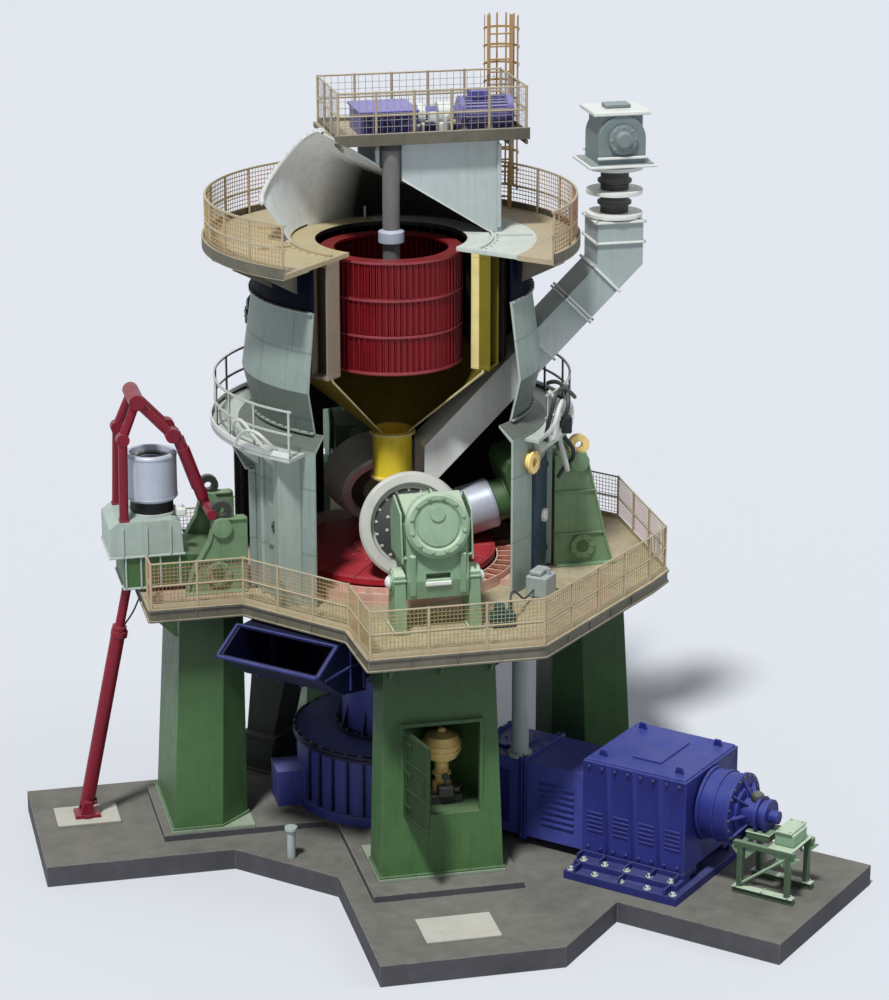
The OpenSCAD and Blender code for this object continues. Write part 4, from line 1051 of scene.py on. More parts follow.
def collar(x_low, x_high, out, half, z_low, z_high):
    """A flange that stands proud all round a box that lies along X."""
    return [block((x_low, -half - out, z_high - 0.02), (x_high, half + out, z_high + out)),
            block((x_low, -half - out, z_low - out), (x_high, half + out, z_low + 0.02)),
            block((x_low, -half - out, z_low), (x_high, -half + 0.02, z_high)),
            block((x_low, half - 0.02, z_low), (x_high, half + out, z_high))]


housing = []
for x in (2.72, 4.05, 4.15, 5.82):
    housing += collar(x, x + 0.09, 0.07, DRIVE_HALF, DRIVE_LOW, DRIVE_TOP)
for side in (-1, 1):
    for step in range(7):
        z = 1.2 + 0.16 * step
        slat = block((4.6, -0.02, -0.035), (5.5, 0.02, 0.035), 0.006)
        housing.append(moved(slat, at(0, side * (DRIVE_HALF + 0.02), z) @ turned_by(side * 30, "X")))
    housing.append(block((3.0, side * 0.87 - 0.02, 1.0), (3.8, side * 0.87 + 0.02, 2.35), 0.015))
housing.append(block((3.1, -0.45, DRIVE_TOP - 0.01), (3.8, 0.45, DRIVE_TOP + 0.06), 0.02))
settle(moved(housing, MOTOR_TURN), "drive_housing_flanges", "blue_paint")
cover = [at(x, y, DRIVE_TOP + 0.06) for x in (3.17, 3.45, 3.73) for y in (-0.38, 0, 0.38)]
cover += [at(x, y, DRIVE_TOP + 0.07) for x in (2.765, 4.095, 4.195, 5.865) for y in (-0.8, -0.4, 0, 0.4, 0.8)]
settle(moved(bolts(0.028, cover), MOTOR_TURN), "drive_housing_bolts", "dark_blue_paint")

# %% [markdown]
# The motor's casing is one block cut across with bisect, so that each bay between the
# cuts can be inset and pushed in as a panel. Its top carries a lid, and the feet, lifting
# lugs and terminal box are separate plates.

# %% Motor casing
def pick_faces(piece, test):
    """Selects the faces of a mesh whose normal passes a test."""
    for group in (piece.data.vertices, piece.data.edges):
        group.foreach_set("select", [False] * len(group))
    for face in piece.data.polygons:
        face.select = test(face.normal)


def panelled_block(lowest, highest, cuts, rim, depth, faces):
    """A block cut into bays along X, with panels sunk into the chosen faces."""
    piece = block(lowest, highest, 0)
    bpy.ops.object.mode_set(mode="EDIT")
    for cut in cuts:
        bpy.ops.mesh.select_all(action="SELECT")
        bpy.ops.mesh.bisect(plane_co=(cut, 0, 0), plane_no=(1, 0, 0))
    bpy.ops.mesh.select_mode(type="FACE")
    bpy.ops.object.mode_set(mode="OBJECT")
    pick_faces(piece, faces)
    bpy.ops.object.mode_set(mode="EDIT")
    bpy.ops.mesh.inset(thickness=rim, depth=-depth, use_individual=True)
    bpy.ops.mesh.select_all(action="SELECT")
    bpy.ops.mesh.normals_make_consistent(inside=False)
    bpy.ops.object.mode_set(mode="OBJECT")
    modify("BEVEL", width=0.015, segments=1)
    return piece


def is_upright(normal):
    """True for the four side faces of a block, whose normals lie level."""
    return abs(normal.y) > 0.9 or abs(normal.x) > 0.9


bays = [MOTOR_NEAR + (MOTOR_FAR - MOTOR_NEAR) * index / 4 for index in (1, 2, 3)]
casing = [panelled_block((MOTOR_NEAR, -MOTOR_HALF, MOTOR_LOW), (MOTOR_FAR, MOTOR_HALF, MOTOR_TOP - 0.05),
                         bays, 0.09, 0.035, is_upright),
          block((MOTOR_NEAR + 0.05, -MOTOR_HALF + 0.05, MOTOR_TOP - 0.06),
                (MOTOR_FAR - 0.05, MOTOR_HALF - 0.05, MOTOR_TOP),
                0.02)]
settle(moved(casing, MOTOR_TURN), "motor_casing", "blue_paint", replaces=("motor_body",))
lugs = [moved(upright_plate([(-0.12, 0), (0.12, 0), (0.08, 0.16), (-0.08, 0.16)], -0.02, 0.02, 0.01),
              at(x, y, MOTOR_TOP))
        for x in (MOTOR_NEAR + 0.35, MOTOR_FAR - 0.35) for y in (-0.95, 0.95)]
lugs += [block((6.5, MOTOR_HALF - 0.02, 1.5), (7.3, MOTOR_HALF + 0.28, 2.3), 0.03),
         block((6.45, MOTOR_HALF + 0.27, 1.45), (7.35, MOTOR_HALF + 0.3, 2.35), 0.01),
         block((6.9, -0.7, MOTOR_TOP - 0.01), (7.65, 0.7, MOTOR_TOP + 0.05), 0.02)]
for side in (-1, 1):
    for index in range(4):
        middle = MOTOR_NEAR + (MOTOR_FAR - MOTOR_NEAR) * (index + 0.5) / 4
        for step in range(5):
            lugs.append(block((middle - 0.2, side * (MOTOR_HALF - 0.02) - 0.012, 1.5 + 0.11 * step),
                              (middle + 0.2, side * (MOTOR_HALF - 0.02) + 0.012, 1.55 + 0.11 * step), 0.004))
settle(moved(lugs, MOTOR_TURN), "motor_fittings", "blue_paint")
dots = [at(MOTOR_NEAR + 0.33 * index + 0.17, side * (MOTOR_HALF + 0.002), z) @ turned_by(-90 * side, "X")
        for index in range(8) for side in (-1, 1) for z in (1.12, MOTOR_TOP - 0.17)]
settle(moved(bolts(0.032, dots), MOTOR_TURN), "motor_side_bolts", "dark_blue_paint")

# %% Motor base
LOWER_TIER, UPPER_TIER = 0.7, 0.86
base_places = [at(x, side * (MOTOR_HALF + 0.24), UPPER_TIER + 0.002) for x in (6.15, 6.7, 7.27, 7.85, 8.4)
               for side in (-1, 1)]
base_places += [at(x, side * 1.83, LOWER_TIER + 0.002) for x in (5.98, 6.6, 7.27, 7.95, 8.6)
                for side in (-1, 1)]
settle(moved(bolts(0.06, base_places), MOTOR_TURN), "motor_holding_bolts", "white_paint")
base = [block((x, side * 1.64 - 0.31, LOWER_TIER), (x + 0.06, side * 1.64 + 0.31, UPPER_TIER), 0.01)
        for x in (6.1, 7.24, 8.4) for side in (-1, 1)]
for side in (-1, 1):
    for x in (6.0, 6.6, 7.27, 7.9, 8.5):
        base.append(moved(block((-0.02, -0.3, UPPER_TIER), (0.02, 0.3, MOTOR_LOW), 0),
                          at(x, side * (MOTOR_HALF - 0.02))))
settle(moved(base, MOTOR_TURN), "motor_base_ribs", "dark_blue_paint")

# %% Motor tail and stub
TAIL_Z = 2.3
to_tail = MOTOR_TURN @ at(MOTOR_FAR, 0, TAIL_Z) @ turned_by(90, "Y")
tail = [ring(0.78, 0.86, 0.0, 0.07, 64), ring(0.78, 0.84, 0.36, 0.42, 64), ring(0.72, 0.85, 0.73, 0.805, 64),
        turned([(0.3, 0.8), (0.52, 0.8), (0.52, 0.86), (0.4, 0.9), (0.3, 0.9)], 48),
        ring(0.3, 0.42, 1.22, 1.3, 48), ring(0.3, 0.38, 1.42, 1.5, 48)]
tail.append(copies(upright_plate([(0.33, 0.8), (0.74, 0.8), (0.33, 1.05)], -0.02, 0.02), around(8)))
settle(moved(tail, to_tail), "motor_tail_rings", "blue_paint")
knobs = [moved(bolts(0.026, [turn @ at(0.79, 0, 0.805) for turn in around(20)]), to_tail)]
dome = turned([(0, 0.2), (0.08, 0.19), (0.14, 0.14), (0.16, 0.07), (0.15, 0), (0, 0)], 24)
knobs.append(moved(dome, MOTOR_TURN @ at(9.75, 0, TAIL_Z + 0.32)))
settle(knobs, "motor_tail_bolts", "dark_grey_paint")

# %% [markdown]
# The barring stand behind the motor turns the mill slowly for maintenance. It is a frame
# of square tube, so the joints get gusset plates and the top block gets a bright cap.

# %% Barring stand
stand = []
for side in (-1, 1):
    for x in (9.67, 10.73):
        for turn in (1, -1):
            gusset = upright_plate([(0, 0), (0.3 * turn, 0), (0, -0.3)], -0.012, 0.012)
            stand.append(moved(gusset, at(x + 0.06 * turn, side * 0.5, 1.65)))
    stand.append(rod((9.62, side * 0.5, 0.72), (10.78, side * 0.5, 1.62), 0.035, 8))
    stand.append(block((9.45, side * 0.5 - 0.11, 0.645), (10.95, side * 0.5 + 0.11, 0.67), 0.006))
stand += [block((9.63, -0.34, 1.93), (10.23, 0.34, 1.965), 0.01),
          block((10.3, -0.56, 1.768), (10.9, 0.56, 1.8), 0.01),
          block((10.36, -0.35, 1.8), (10.84, 0.35, 2.12), 0.03),
          block((10.4, -0.4, 2.12), (10.8, 0.4, 2.17), 0.01)]
settle(moved(stand, MOTOR_TURN), "barring_gussets", "light_green_paint")
feet = [at(x, side * 0.5 + off, 0.67) for x in (9.55, 10.2, 10.85) for side in (-1, 1)
        for off in (-0.085, 0.085)]
feet += [at(x, y, 2.17) for x in (10.46, 10.74) for y in (-0.33, 0.33)]
settle(moved(bolts(0.022, feet), MOTOR_TURN), "barring_bolts", "white_paint")
print("drive line dressed")


# %% [markdown]
# ## Gas path
# Hot gas enters through a wide-mouthed duct and turns round a ring under the table. Both
# are thin plate, so they carry stiffening ribs outside, and the mouth has a bolted frame.

# %% Duct mouth and ribs
DUCT_TURN = turned_by(225)
MOUTH_LOW, MOUTH_HIGH = Vector((5.4, 0, 5.65)), Vector((4.65, 0, 6.12))
DUCT_LEFT, DUCT_RIGHT = -1.2, 1.45
slope = MOUTH_HIGH - MOUTH_LOW
mouth = at(*MOUTH_LOW) @ turned_by(-math.degrees(math.atan2(slope.z, slope.x)), "Y")
frame_bars = [block((-0.07, DUCT_LEFT - 0.07, -0.05), (0.0, DUCT_RIGHT + 0.07, 0.03)),
              block((slope.length, DUCT_LEFT - 0.07, -0.05), (slope.length + 0.05, DUCT_RIGHT + 0.07, 0.03)),
              block((-0.07, DUCT_LEFT - 0.07, -0.05), (slope.length + 0.05, DUCT_LEFT, 0.03)),
              block((-0.07, DUCT_RIGHT, -0.05), (slope.length + 0.05, DUCT_RIGHT + 0.07, 0.03))]
moved(frame_bars, mouth)
duct = frame_bars + [upright_plate([(3.45, 4.66), (4.36, 4.84), (4.4, 4.9), (3.45, 4.7)], y - 0.02, y + 0.02)
                     for y in (-0.9, -0.3, 0.3, 0.9)]
for y in (DUCT_LEFT - 0.05, DUCT_RIGHT):
    duct += [block((3.5, y, 4.8), (3.56, y + 0.05, 6.1), 0.006),
             block((4.05, y, 4.92), (4.11, y + 0.05, 6.1), 0.006),
             block((3.5, y, 5.45), (5.1, y + 0.05, 5.51), 0.006)]
settle(moved(duct, DUCT_TURN), "duct_ribs", "blue_paint", finish=FINISHES["dark_blue_paint"])
studs = [at(edge, y, 0.03) for edge in (-0.035, slope.length + 0.025)
         for y in (-1.1, -0.6, -0.1, 0.4, 0.9, 1.35)]
settle(moved(bolts(0.022, studs), DUCT_TURN @ mouth), "duct_bolts", "dark_grey_paint")

# %% Gas ring ribs
GAS_R, GAS_LOW, GAS_TOP = high("gas_ring")[0], low("gas_ring")[2], high("gas_ring")[2]
open_turns = [turned_by(angle) for angle in range(0, 360, 12)
              if angle_apart(angle, 225) > 30 and angle_apart(angle, 135) > 14]
ribs = upright_plate([(GAS_R - 0.01, GAS_LOW + 0.05), (GAS_R + 0.11, GAS_LOW + 0.05),
                      (GAS_R + 0.11, GAS_TOP - 0.1),
                      (GAS_R - 0.01, GAS_TOP - 0.1)], -0.015, 0.015)
settle([copies(ribs, open_turns), ring(GAS_R - 0.01, GAS_R + 0.12, GAS_LOW, GAS_LOW + 0.05, 96, 257, 296),
        ring(GAS_R - 0.01, GAS_R + 0.12, GAS_TOP - 0.1, GAS_TOP - 0.05, 96, 257, 296)], "gas_ring_ribs",
        "navy_paint")
REJECT_TURN = turned_by(135)
settle(moved([block((3.1, -0.6, 1.42), (4.12, 0.6, 1.5)), block((3.1, -0.6, 0.505), (4.12, 0.6, 0.56))]
             + [block((4.06, y - 0.03, 0.56), (4.12, y + 0.03, 1.42), 0.006) for y in (-0.5, 0, 0.5)]
             + [block((3.2, 0.55, 0.8), (4.0, 0.59, 1.3), 0)],
             REJECT_TURN), "reject_bin_rims", "dark_grey_paint")
print("gas path dressed")


# %% [markdown]
# ## Service deck
# The deck is a slab of plate on a channel edge. The channel is drawn as its two flanges
# and its web stiffeners, brackets stand under it, a kick plate runs along its edge, and
# the bays of the railing are filled with welded wire mesh. The outline is the frame's.

# %% Deck edge
NOTCH_X, NOTCH_Y = 3.95, 4.3
DECK_EDGE = [(-6.1, -2.0), (-NOTCH_X, -2.0), (-2.0, -NOTCH_Y), (-1.9, -6.2), (2.1, -6.2), (5.6, -2.7),
             (6.2, -2.0), (6.2, 2.0), (5.6, 2.7), (2.1, 6.2), (-1.9, 6.2), (-2.0, NOTCH_Y),
             (-NOTCH_X, 2.0), (-6.1, 2.0)]
RAIL_LINE = [(-6.04, -1.3), (-6.04, -1.94), (-3.92, -1.94), (-1.94, -4.27), (-1.84, -6.14), (2.08, -6.14),
             (5.54, -2.68), (6.14, -1.98), (6.14, 1.98), (5.54, 2.68), (2.08, 6.14), (-1.84, 6.14),
             (-1.94, 4.27), (-3.92, 1.94), (-6.04, 1.94), (-6.04, 1.3)]
edge_bars = []
for start, end in zip(DECK_EDGE, DECK_EDGE[1:] + DECK_EDGE[:1]):
    run = Vector(end) - Vector(start)
    edge_bars += [strip(start, end, DECK - 0.05, DECK + 0.004, 0.07),
                  strip(start, end, DECK_UNDER - 0.004, DECK_UNDER + 0.035, 0.07)]
    bays = max(1, round(run.length / 0.9))
    for index in range(1, bays):
        spot = Vector(start) + run * index / bays
        edge_bars.append(moved(block((-0.01, -0.03, DECK_UNDER + 0.03), (0.01, 0.03, DECK - 0.05), 0),
                               at(spot.x, spot.y) @ turned_by(math.degrees(math.atan2(run.y, run.x)))))
settle(edge_bars, "deck_channel", "tan_paint")

# %% Deck brackets and kick plate
knees = []
for azimuth, face in PED_FACES.values():
    head = face - PED_LEAN
    knee = upright_plate([(head + 0.06, DECK_UNDER), (head + 0.75, DECK_UNDER),
                          (head + 0.75, DECK_UNDER - 0.06),
                          (head + 0.1, DECK_UNDER - 0.7), (head + 0.06, DECK_UNDER - 0.7)], -0.02, 0.02)
    knees.append(moved(copies(knee, [at(0, y, 0) for y in (-1.15, 0, 1.15)]), turned_by(azimuth)))
settle(knees, "deck_knees", "green_paint")
kick = [strip(start, end, DECK, DECK + 0.12, 0.012) for start, end in zip(RAIL_LINE, RAIL_LINE[1:])]
settle(kick, "deck_kick_plate", "railing_paint")
mesh_bays = [wire_panel(start, end, DECK + 0.16, DECK + 1.05) for start, end in zip(RAIL_LINE, RAIL_LINE[1:])]
settle(mesh_bays, "deck_wire_mesh", "railing_paint", finish=MESH_TAN)
print("deck edge", len(edge_bars), "mesh bays", len(mesh_bays))


# %% [markdown]
# ## Grinding table and rollers
# The table carries bolted wear segments, so the ring is cut into wedges with a joint
# between them. Around it the nozzle ring drives the gas upwards between slanted blades.
# A large roller turns on an axle that its rocker arm holds in a round, bolted cap.

# %% Table segments
TABLE_TOP = 6.9003
TABLE_R = 2.4
SEGMENTS, SEGMENT_IN, SEGMENT_OUT = 16, 1.02, 0.975 * TABLE_R
wedge_turn = 360 / SEGMENTS


def table_segment():
    """One wear segment: a wedge of the ring, a joint's width short of its neighbour."""
    half = math.radians(wedge_turn / 2 - 0.5)
    outline = [(SEGMENT_OUT * math.cos(turn), SEGMENT_OUT * math.sin(turn))
               for turn in (-half, -half / 2, 0, half / 2, half)]
    outline += [(SEGMENT_IN * math.cos(turn), SEGMENT_IN * math.sin(turn)) for turn in (half, 0, -half)]
    return moved(plate(outline, 0.028, 0.008), at(z=TABLE_TOP + 0.0005))


liners = [copies(table_segment(), around(SEGMENTS)), bolt_ring(0.03, 1.12, TABLE_TOP + 0.024, SEGMENTS, 0),
          turned([(0, TABLE_TOP + 0.06), (0.6, TABLE_TOP + 0.06), (0.6, TABLE_TOP + 0.1),
                  (0.3, TABLE_TOP + 0.13), (0, TABLE_TOP + 0.13)], 40)]
settle(liners, "table_segments", "table_red", "table", SEGMENT_RED)
rim = [ring(TABLE_R - 0.05, TABLE_R + 0.022, TABLE_TOP - 0.13, TABLE_TOP + 0.02, 96),
       bolt_ring(0.025, 0.9, TABLE_TOP + 0.06, 12, 15)]
settle(rim, "table_rim", "table_red", "table", SEGMENT_RED)

# %% Nozzle blades
RING_IN, RING_OUT, NOZZLE_TOP, BLADES = 2.5, 2.92, 6.6, 48
blade = moved(block((RING_IN, -0.012, -0.02), (RING_OUT, 0.012, 0.2), 0.004), turned_by(40, "X"))
blades = copies(moved(blade, at(z=NOZZLE_TOP)), around(BLADES))
settle([blades, ring(2.462, 2.5, 6.55, 6.74, 96), ring(2.91, 2.945, 6.52, 6.75, 96)], "nozzle_blades",
       "nozzle_steel")
print("table segments", SEGMENTS, "nozzle blades", BLADES)

# %% Large rollers
ROLLER_R, ROLLER_Z, ROLLER_TILT = 1.75, 7.9965, 18
CAP_START, CAP_END = 2.16, 3.12


def roller_frame(azimuth):
    """The large roller's own frame: Z along its axle, outwards and up."""
    return turned_by(azimuth) @ at(ROLLER_R, 0, ROLLER_Z) @ turned_by(90 - ROLLER_TILT, "Y")


def roller_details():
    """Cover disc with its bolts on the outer face, and a clamp ring in the groove of each face."""
    cover = [turned([(0.42, 0.205), (0.86, 0.205), (0.86, 0.25), (0.78, 0.29), (0.5, 0.29), (0.44, 0.33),
                     (0.42, 0.33), (0.42, 0.205)], 64),
             turned([(0.42, -0.305), (0.72, -0.305), (0.72, -0.33), (0.42, -0.38), (0.42, -0.305)], 64)]
    heads = bolt_ring(0.035, 0.82, 0.25, 18)
    return cover, [heads, bolt_ring(0.03, 0.58, 0.288, 12, 7)]


for name, azimuth in (("front", 270), ("back", 90)):
    to_roller = roller_frame(azimuth)
    cover, heads = roller_details()
    settle(moved(cover, to_roller), "roller_cover_" + name, "dark_grey_paint", name + "_roller", RECESS_SHADE_GREY)
    settle(moved(heads, to_roller), "roller_bolts_" + name, "tyre_steel", name + "_roller")

# %% Rocker arms
PIVOT_R, PIVOT_Z, ARM_HALF = 4.4, 7.6, 0.7


def arm_details(azimuth):
    """Cap rim and bolts, side ribs, a bar below the slot and a lifting eye."""
    cap = [turned([(0.5, CAP_END - 0.005), (0.56, CAP_END + 0.05), (0.66, CAP_END + 0.05),
                   (0.735, CAP_END - 0.02),
                   (0.735, CAP_END - 0.12), (0.71, CAP_END - 0.12)], 64),
           ring(0.71, 0.78, CAP_START + 0.02, CAP_START + 0.12, 64),
           turned([(0, CAP_END + 0.005), (0.47, CAP_END + 0.005), (0.47, CAP_END + 0.03),
                   (0.1, CAP_END + 0.045), (0, CAP_END + 0.045)], 64)]
    moved(cap, roller_frame(azimuth))
    ribs = []
    cheek = [(3.62, 8.12), (4.74, 8.12), (4.56, 9.24), (3.84, 9.46), (3.5, 9.0)]
    for side in (-1, 1):
        ribs.append(upright_plate(cheek, *sorted((side * 0.78, side * 0.82)), 0.008))
        inner, outer = sorted((side * (ARM_HALF - 0.01), side * 0.79))
        for x, z_low, z_high in ((3.75, 8.3, 8.9), (4.15, 8.25, 9.1), (4.5, 8.2, 9.0)):
            ribs.append(block((x - 0.025, inner, z_low), (x + 0.025, outer, z_high), 0.006))
        ribs.append(block((4.0, inner, 8.2), (4.7, outer, 8.25), 0.006))
    ribs.append(block((4.6, -0.64, 7.36), (4.8, -0.5, 8.3), 0.02))
    ribs.append(block((4.6, 0.5, 7.36), (4.8, 0.64, 8.3), 0.02))
    eye = moved(turned([(0.05, -0.02), (0.12, -0.02), (0.12, 0.02), (0.05, 0.02), (0.05, -0.02)], 24),
                at(3.98, 0, 9.46) @ turned_by(90, "X"))
    ribs.append(eye)
    moved(ribs, turned_by(azimuth))
    return cap + ribs


# %% Pin caps and arm bearings
def pin_caps(azimuth):
    """Domed covers over both ends of the pivot pin, and a bright bar below the slot."""
    dome = turned([(0, 0.1), (0.07, 0.09), (0.13, 0.05), (0.15, 0), (0, 0)], 32)
    ends = [at(PIVOT_R, side * 1.04, PIVOT_Z) @ turned_by(-90 * side, "X") for side in (-1, 1)]
    bar = block((4.7, -0.3, 7.58), (4.83, 0.3, 7.69), 0.02)
    return moved([copies(dome, ends), bar], turned_by(azimuth))


def bearing_details(azimuth):
    """Base flanges, cap bolts and grease caps of the two arm bearings."""
    parts = []
    for side in (-1, 1):
        y = side * 0.85
        parts.append(block((3.9, y - 0.17, DECK + 0.001), (4.9, y + 0.17, DECK + 0.05), 0.01))
        parts.append(moved(ring(0.19, 0.27, 0.128, 0.16, 32),
                           at(PIVOT_R, y, PIVOT_Z) @ turned_by(-90 * side, "X")))
        parts.append(block((4.1, y - 0.15, 7.66), (4.16, y + 0.15, 7.72), 0.01))
        parts.append(block((4.64, y - 0.15, 7.66), (4.7, y + 0.15, 7.72), 0.01))
        parts.append(bolts(0.03, [at(x, y + off, DECK + 0.05) for x in (4.0, 4.8) for off in (-0.09, 0.09)]))
    return moved(parts, turned_by(azimuth))


# %% Fit the rocker arms
for name, azimuth in (("front", 270), ("back", 90)):
    settle(arm_details(azimuth), "arm_ribs_" + name, "light_green_paint", name + "_arm")
    settle(pin_caps(azimuth), "pin_caps_" + name, "white_paint", name + "_arm", CLEAN_WHITE)
    settle(moved(bolt_ring(0.035, 0.61, CAP_END + 0.05, 12, 15), roller_frame(azimuth)), "cap_bolts_" + name,
           "light_green_paint", name + "_arm")
    settle(bearing_details(azimuth), "bearing_feet_" + name, "light_green_paint")
print("rollers and arms dressed")

# %% [markdown]
# The two small rollers swing out of the housing for service. The left one is parked with
# its axle upright, so its end cover, painted dark grey as shade in its recess, and its bolts
# are on show. Both arms share one set of details, drawn in the arm's own frame and turned
# to each arm's angle.

# %% Small rollers and their arms
SMALL_PIVOT, SMALL_Z, PARK, PARK_Z, SMALL_HALF = 4.35, 6.95, 1.36, 2.17, 0.55
SMALL_ARMS = {"left": (180, 0, "frame", "left_roller"), "right": (0, 105, "right_arm", "right_roller")}


def small_frame(azimuth, swing):
    """A small arm's own frame: X along the arm, Z away from the mill."""
    return turned_by(azimuth) @ at(SMALL_PIVOT, 0, SMALL_Z) @ turned_by(-swing, "Y")


def small_cover():
    """The cover disc on the small roller's outer face, which is painted dark grey as shade in its recess."""
    disc = [turned([(0.27, SMALL_HALF - 0.148), (0.45, SMALL_HALF - 0.148), (0.45, SMALL_HALF - 0.12),
                    (0.4, SMALL_HALF - 0.1),
                    (0.27, SMALL_HALF - 0.1), (0.27, SMALL_HALF - 0.148)], 48)]
    return moved(disc, at(PARK, 0, PARK_Z))


def small_arm_details():
    """Side ribs, a rim under the roller's seat, and lifting lugs."""
    parts = [block((0.72, -0.83, 0.42), (2.48, 0.83, 0.47), 0.01),
             block((0.7, -0.78, -0.36), (2.18, 0.78, -0.31), 0.01)]
    for side in (-1, 1):
        inner, outer = sorted((side * 0.745, side * 0.79))
        for u in (0.85, 1.3, 1.75, 2.1):
            parts.append(block((u - 0.02, inner, -0.31), (u + 0.02, outer, 0.42), 0.005))
        inner, outer = sorted((side * 0.795, side * 0.84))
        for u in (1.05, 1.6, 2.15):
            parts.append(block((u - 0.02, inner, 0.47), (u + 0.02, outer, 1.15), 0.005))
    parts.append(ring(0.5, 0.58, 1.285, 1.33, 40))
    moved(parts[-1], at(PARK, 0, 0))
    return parts


# %% Fit the small rollers
for name, (azimuth, swing, arm_body, roller_body) in SMALL_ARMS.items():
    to_arm = small_frame(azimuth, swing)
    settle(moved(small_cover(), to_arm), "small_cover_" + name, "dark_grey_paint", roller_body, RECESS_SHADE_GREY)
    heads = bolts(0.022, [at(PARK, 0, PARK_Z) @ turn @ at(0.36, 0, SMALL_HALF - 0.1) for turn in around(10)])
    grooves = [moved(ring(0.598, 0.612, z, z + 0.03, 64), at(PARK, 0, PARK_Z)) for z in (-0.5, 0.47)]
    settle(moved([heads] + grooves, to_arm), "small_roller_bolts_" + name, "small_tyre_steel", roller_body)
    arm_finish = ARM_GREY if name == "left" else FINISHES["green_paint"]
    settle(moved(small_arm_details(), to_arm), "small_arm_ribs_" + name, "green_paint", arm_body, arm_finish)
    collars = [moved(ring(0.15, 0.21, 1.105, 1.14, 32), to_arm @ turned_by(90 * side, "X"))
               for side in (-1, 1)]
    collars.append(moved(bolts(0.028, [at(0.75 + 0.4 * k, side * 0.78, 0.44) @ turned_by(-90 * side, "X")
                                       for k in range(4) for side in (-1, 1)]), to_arm))
    settle(collars, "small_arm_pins_" + name, "white_paint", arm_body, CLEAN_WHITE)

# %% Guard plates
GUARD_EDGE = 4.4
GUARDS = {"right": (0, high("guard_plates_right")[2]), "left": (180, high("guard_plates_left")[2])}


def guard_details(azimuth, top):
    """Edge flanges, ribs, pin bosses with their bolts, and a foot flange on each plate."""
    parts = []
    for side in (-1, 1):
        y0, y1 = sorted((side * 0.86, side * 1.14))
        line = [(GUARD_EDGE + 0.7, DECK), (GUARD_EDGE + 0.55, DECK + 0.5), (GUARD_EDGE + 0.15, top - 0.55),
                (GUARD_EDGE, top),
                (BODY_R + 0.1, top)]
        for (x0, z0), (x1, z1) in zip(line, line[1:]):
            parts.append(moved(block((0, y0, -0.02), (math.hypot(x1 - x0, z1 - z0), y1, 0.03), 0.006),
                               at(x0, 0, z0) @ turned_by(-math.degrees(math.atan2(z1 - z0, x1 - x0)), "Y")))
        inner, outer = sorted((side * 1.1, side * 1.15))
        parts += [block((BODY_R + 0.1, inner, z), (5.0 - (z - DECK) * 0.2, outer, z + 0.05), 0.006)
                  for z in (DECK + 0.75, DECK + 1.8) if z < top - 0.3]
        hub = at(SMALL_PIVOT, side * 1.09, SMALL_Z) @ turned_by(-90 * side, "X")
        parts.append(moved(ring(0.16, 0.3, 0.0, 0.07, 40), hub))
        parts.append(moved(bolts(0.025, [turn @ at(0.25, 0, 0.07) for turn in around(8)]), hub))
        parts.append(block((BODY_R + 0.1, side * 1.17 - 0.09, DECK), (5.15, side * 1.17 + 0.09, DECK + 0.04),
                           0.006))
    return moved(parts, turned_by(azimuth))


for name, (azimuth, top) in GUARDS.items():
    settle(guard_details(azimuth, top - 0.03), "guard_rims_" + name, "green_paint", finish=GUARD_GREEN)
    eyes = [moved(turned([(0.09, -0.07), (0.25, -0.07), (0.25, 0.07), (0.09, 0.07), (0.09, -0.07)], 32),
                  at(GUARD_EDGE - 0.15, side * 1.0, top + 0.16) @ turned_by(90, "X")) for side in (-1, 1)]
    settle(moved(eyes, turned_by(azimuth)), "guard_eyes_" + name, "dark_grey_paint",
           finish=FINISHES["gold_paint"] if name == "right" else None)
print("small rollers dressed")

# %% [markdown]
# ## Swing-out gear
# A hydraulic cylinder and a crimson frame swing the small roller out. The cylinder gets
# its gland, clevis ears and oil pipes; the frame gets knuckles where its bars are pinned.

# %% Cylinder and frame fittings
CYL_FOOT, CYL_TOP = Vector((-7.45, 0.4, 0.56)), Vector((-6.32, 0, 6.52))
lean = along(CYL_FOOT, CYL_TOP - CYL_FOOT)
reach = (CYL_TOP - CYL_FOOT).length
fittings = [moved(ring(0.165, 0.2, 0.8 * reach - 0.16, 0.8 * reach - 0.02, 32), lean),
            moved(ring(0.165, 0.19, 0.35, 0.43, 32), lean),
            moved(bolt_ring(0.018, 0.175, 0.8 * reach - 0.02, 8), lean)]
for side in (-1, 1):
    fittings.append(rod((-7.45, 0.4 + side * 0.24, 0.56), (-7.45, 0.4 + side * 0.29, 0.56), 0.09, 20))
settle(fittings, "cylinder_fittings", "crimson_paint")
lines = [moved(rod((0.2, 0, 0.7), (0.2, 0, 0.78 * reach), 0.022, 8), lean),
         moved(rod((0.16, 0.09, 0.6), (0.2, 0.09, 1.1), 0.022, 8), lean),
         pipe([(-6.5, 0.2, 5.3), (-6.2, 0.5, 5.5), (-6.0, 0.6, 5.9), (-5.9, 0.55, 6.15), (-5.9, 0.5, 6.19)],
              0.022)]
settle(lines, "cylinder_pipes", "dark_grey_paint")
knuckles = []
for x, z, y, half, radius in ((-6.05, 11.0, 0.0, 0.6, 0.185), (-5.25, 10.15, 0.42, 0.13, 0.17),
                              (-5.25, 10.15, -0.42, 0.13, 0.17),
                              (-6.4, 10.15, 0.525, 0.12, 0.15), (-6.4, 10.15, -0.525, 0.12, 0.15)):
    knuckles.append(moved(rod((0, 0, -half), (0, 0, half), radius, 24), at(x, y, z) @ turned_by(90, "X")))
for y in (-0.42, 0.42):
    knuckles.append(rod((-5.0, y, 9.82), (-4.58, y, 8.6), 0.14, 16))
settle(knuckles, "frame_knuckles", "crimson_paint")
